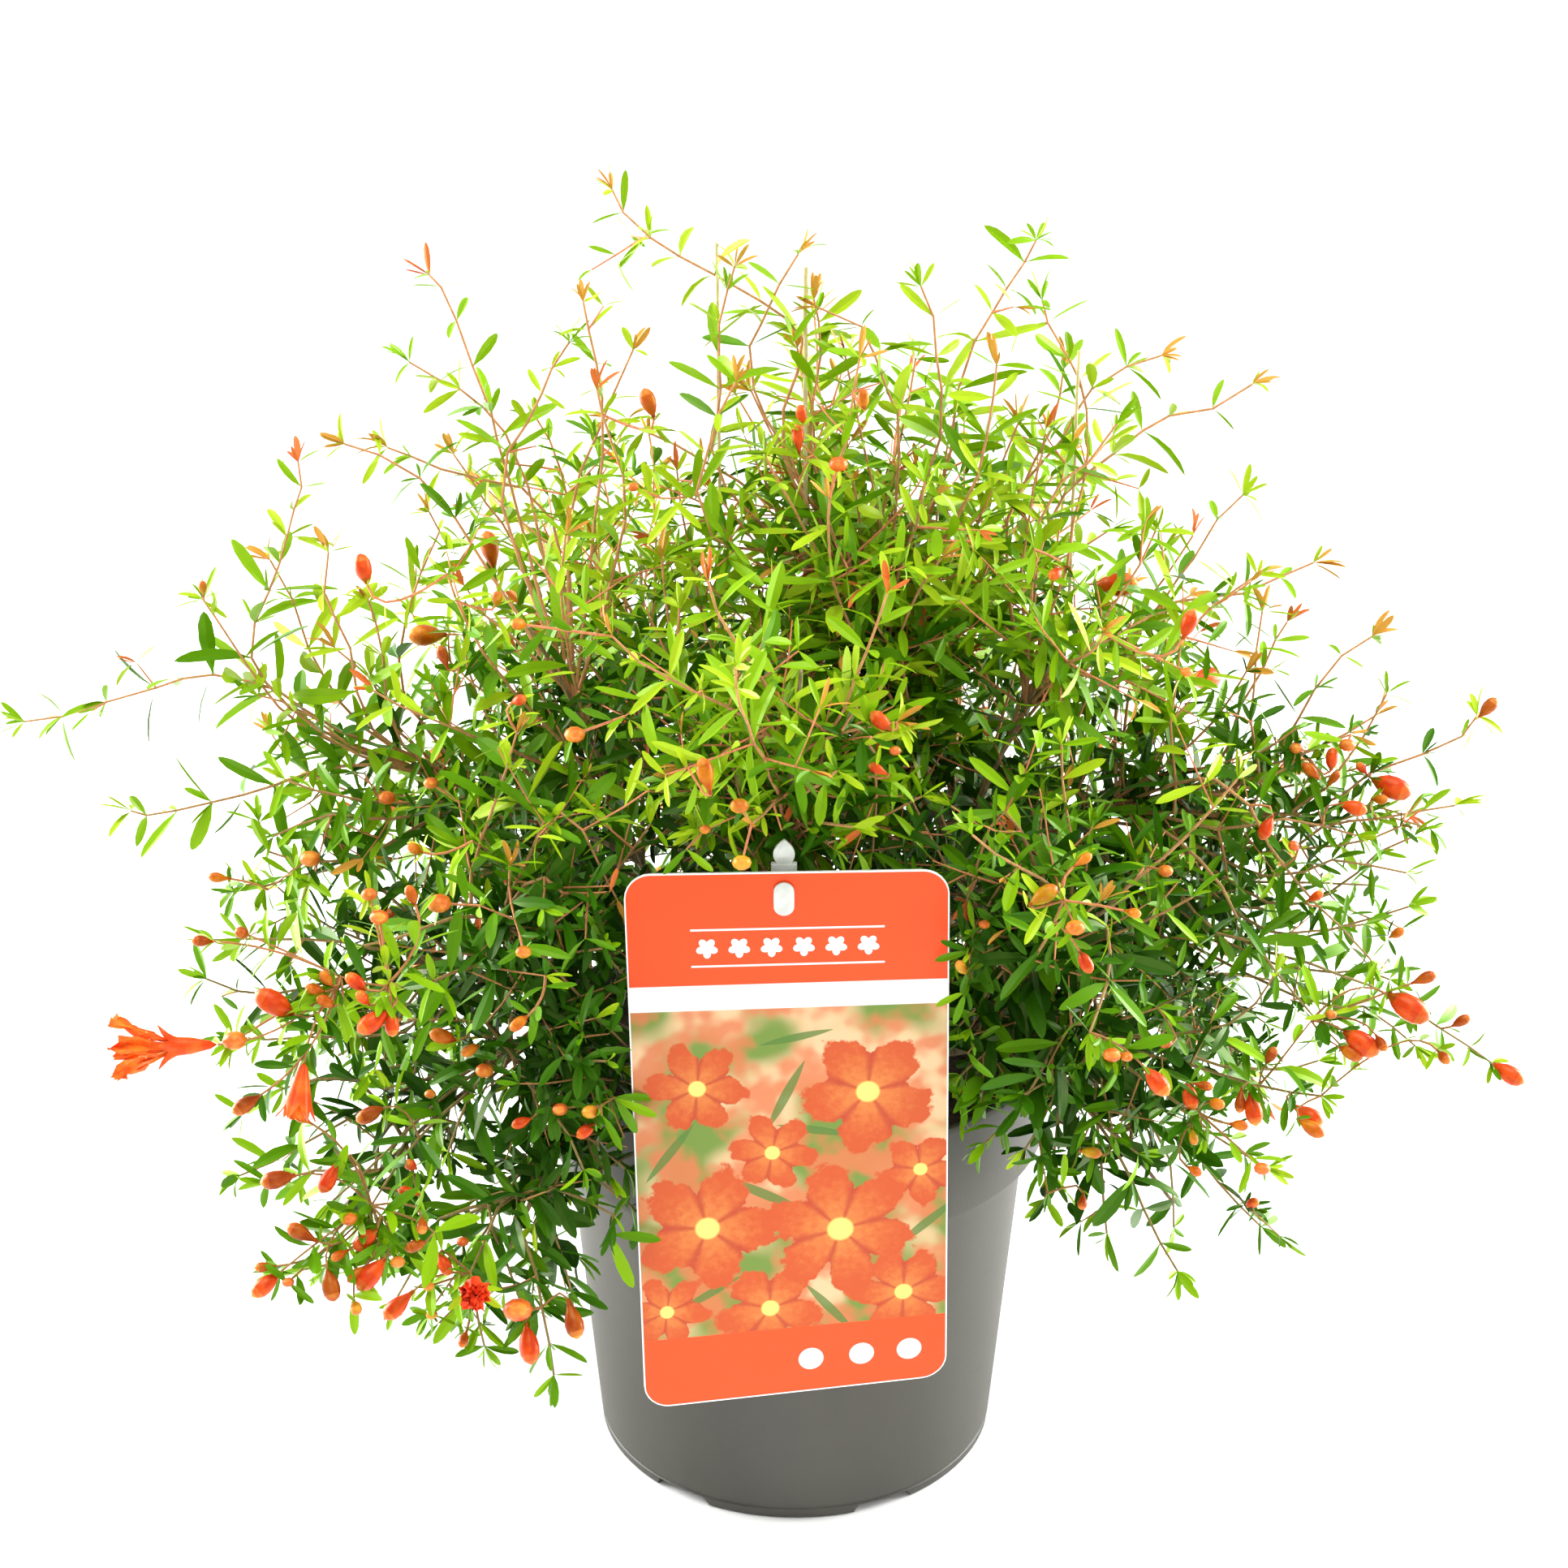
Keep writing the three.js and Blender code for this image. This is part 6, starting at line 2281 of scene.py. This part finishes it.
class MakeStage(bpy.types.Operator):
    """Lay the pale floor, hang the soft lights and set the camera"""

    bl_idname = "pomegranate.make_stage"
    bl_label = "Stage"

    def execute(self, context):
        settings = context.scene.pomegranate_stage
        bm = bmesh.new()
        bmesh.ops.create_grid(bm, x_segments=4, y_segments=4, size=14)
        floor = bpy.data.objects.new("floor", mesh_of(bm, "floor"))
        finish = Finish("pale_floor", roughness=0.9)
        tone = finish.grain(finish.place(), 3, 2, 0.5)
        finish.set(base_color=finish.blend(tone, shaded(settings.floor, 0.98), settings.floor))
        floor.data.materials.append(finish.material)
        context.scene.collection.objects.link(floor)
        world = bpy.data.worlds.new("studio")
        world.use_nodes = True
        world.node_tree.nodes["Background"].inputs["Color"].default_value = (1, 1, 1, 1)
        world.node_tree.nodes["Background"].inputs["Strength"].default_value = settings.sky
        context.scene.world = world
        context.scene.view_settings.view_transform = "Standard"
        for name, place, sides, power in STUDIO_LIGHTS:
            lamp = bpy.data.lights.new(name, "AREA")
            lamp.shape = "RECTANGLE"
            lamp.size, lamp.size_y = sides
            lamp.energy = power
            aim = Vector(LIGHTS_AIM) - Vector(place)
            hang(context.scene, name, lamp, place, aim.to_track_quat("-Z", "Y").to_euler())
        sun = bpy.data.lights.new("overhead", "SUN")
        sun.energy = settings.overhead
        sun.angle = math.radians(OVERHEAD_ANGLE)
        hang(context.scene, "overhead", sun, (0, 0, 0), (math.radians(OVERHEAD_TILT), 0, 0))
        camera = bpy.data.cameras.new("camera")
        camera.lens = VIEW["lens"]
        camera.sensor_width = VIEW["sensor"]
        turn = (math.pi / 2 - VIEW["pitch"], 0, -VIEW["yaw"])
        context.scene.camera = hang(context.scene, "camera", camera, mm(*VIEW["place"]), turn)
        return {"FINISHED"}


def hang(scene, name, data, place, turn):
    """Puts a light or the camera in its place."""
    holder = bpy.data.objects.new(name, data)
    holder.location = place
    holder.rotation_euler = turn
    scene.collection.objects.link(holder)
    return holder


LIGHTS_AIM = (0, 0, 0.22)


OVERHEAD_ANGLE = 50
OVERHEAD_TILT = 8
STUDIO_LIGHTS = (
    ("left_panel", (-1.4, 0.45, 0.5), (1.0, 1.4), 74),
    ("right_panel", (1.4, 0.45, 0.5), (1.0, 1.4), 74),
    ("front_panel", (0.4, -1.9, 1.3), (1.4, 1.0), 10),
)


class PomegranatePanel(bpy.types.Panel):
    """Lists the pieces of the shrub"""

    bl_idname = "VIEW3D_PT_pomegranate"
    bl_label = "Pomegranate"
    bl_space_type = "VIEW_3D"
    bl_region_type = "UI"
    bl_category = "Pomegranate"

    def draw(self, context):
        for operator in OPERATORS:
            self.layout.operator(operator.bl_idname)
        for name, group in SETTINGS.items():
            box = self.layout.box()
            for key in group.__annotations__:
                box.prop(getattr(context.scene, name), key)


OPERATORS = (MakePot, MakeSoil, MakeLabel, GrowShrub, MakeLeaves, MakeBuds, MakeFlowers, MakeStage)


def register():
    for group in (*SETTINGS.values(), *OPERATORS, PomegranatePanel):
        bpy.utils.register_class(group)
    for name, group in SETTINGS.items():
        setattr(bpy.types.Scene, name, PointerProperty(type=group))


def unregister():
    for name in SETTINGS:
        delattr(bpy.types.Scene, name)
    for group in reversed((*SETTINGS.values(), *OPERATORS, PomegranatePanel)):
        bpy.utils.unregister_class(group)


def main():
    register()
    bpy.ops.pomegranate.make_pot()
    bpy.ops.pomegranate.make_soil()
    bpy.ops.pomegranate.make_label()
    bpy.ops.pomegranate.grow_shrub()
    bpy.ops.pomegranate.make_leaves()
    bpy.ops.pomegranate.make_buds()
    bpy.ops.pomegranate.make_flowers()
    bpy.ops.pomegranate.make_stage()


if __name__ == "__main__":
    main()
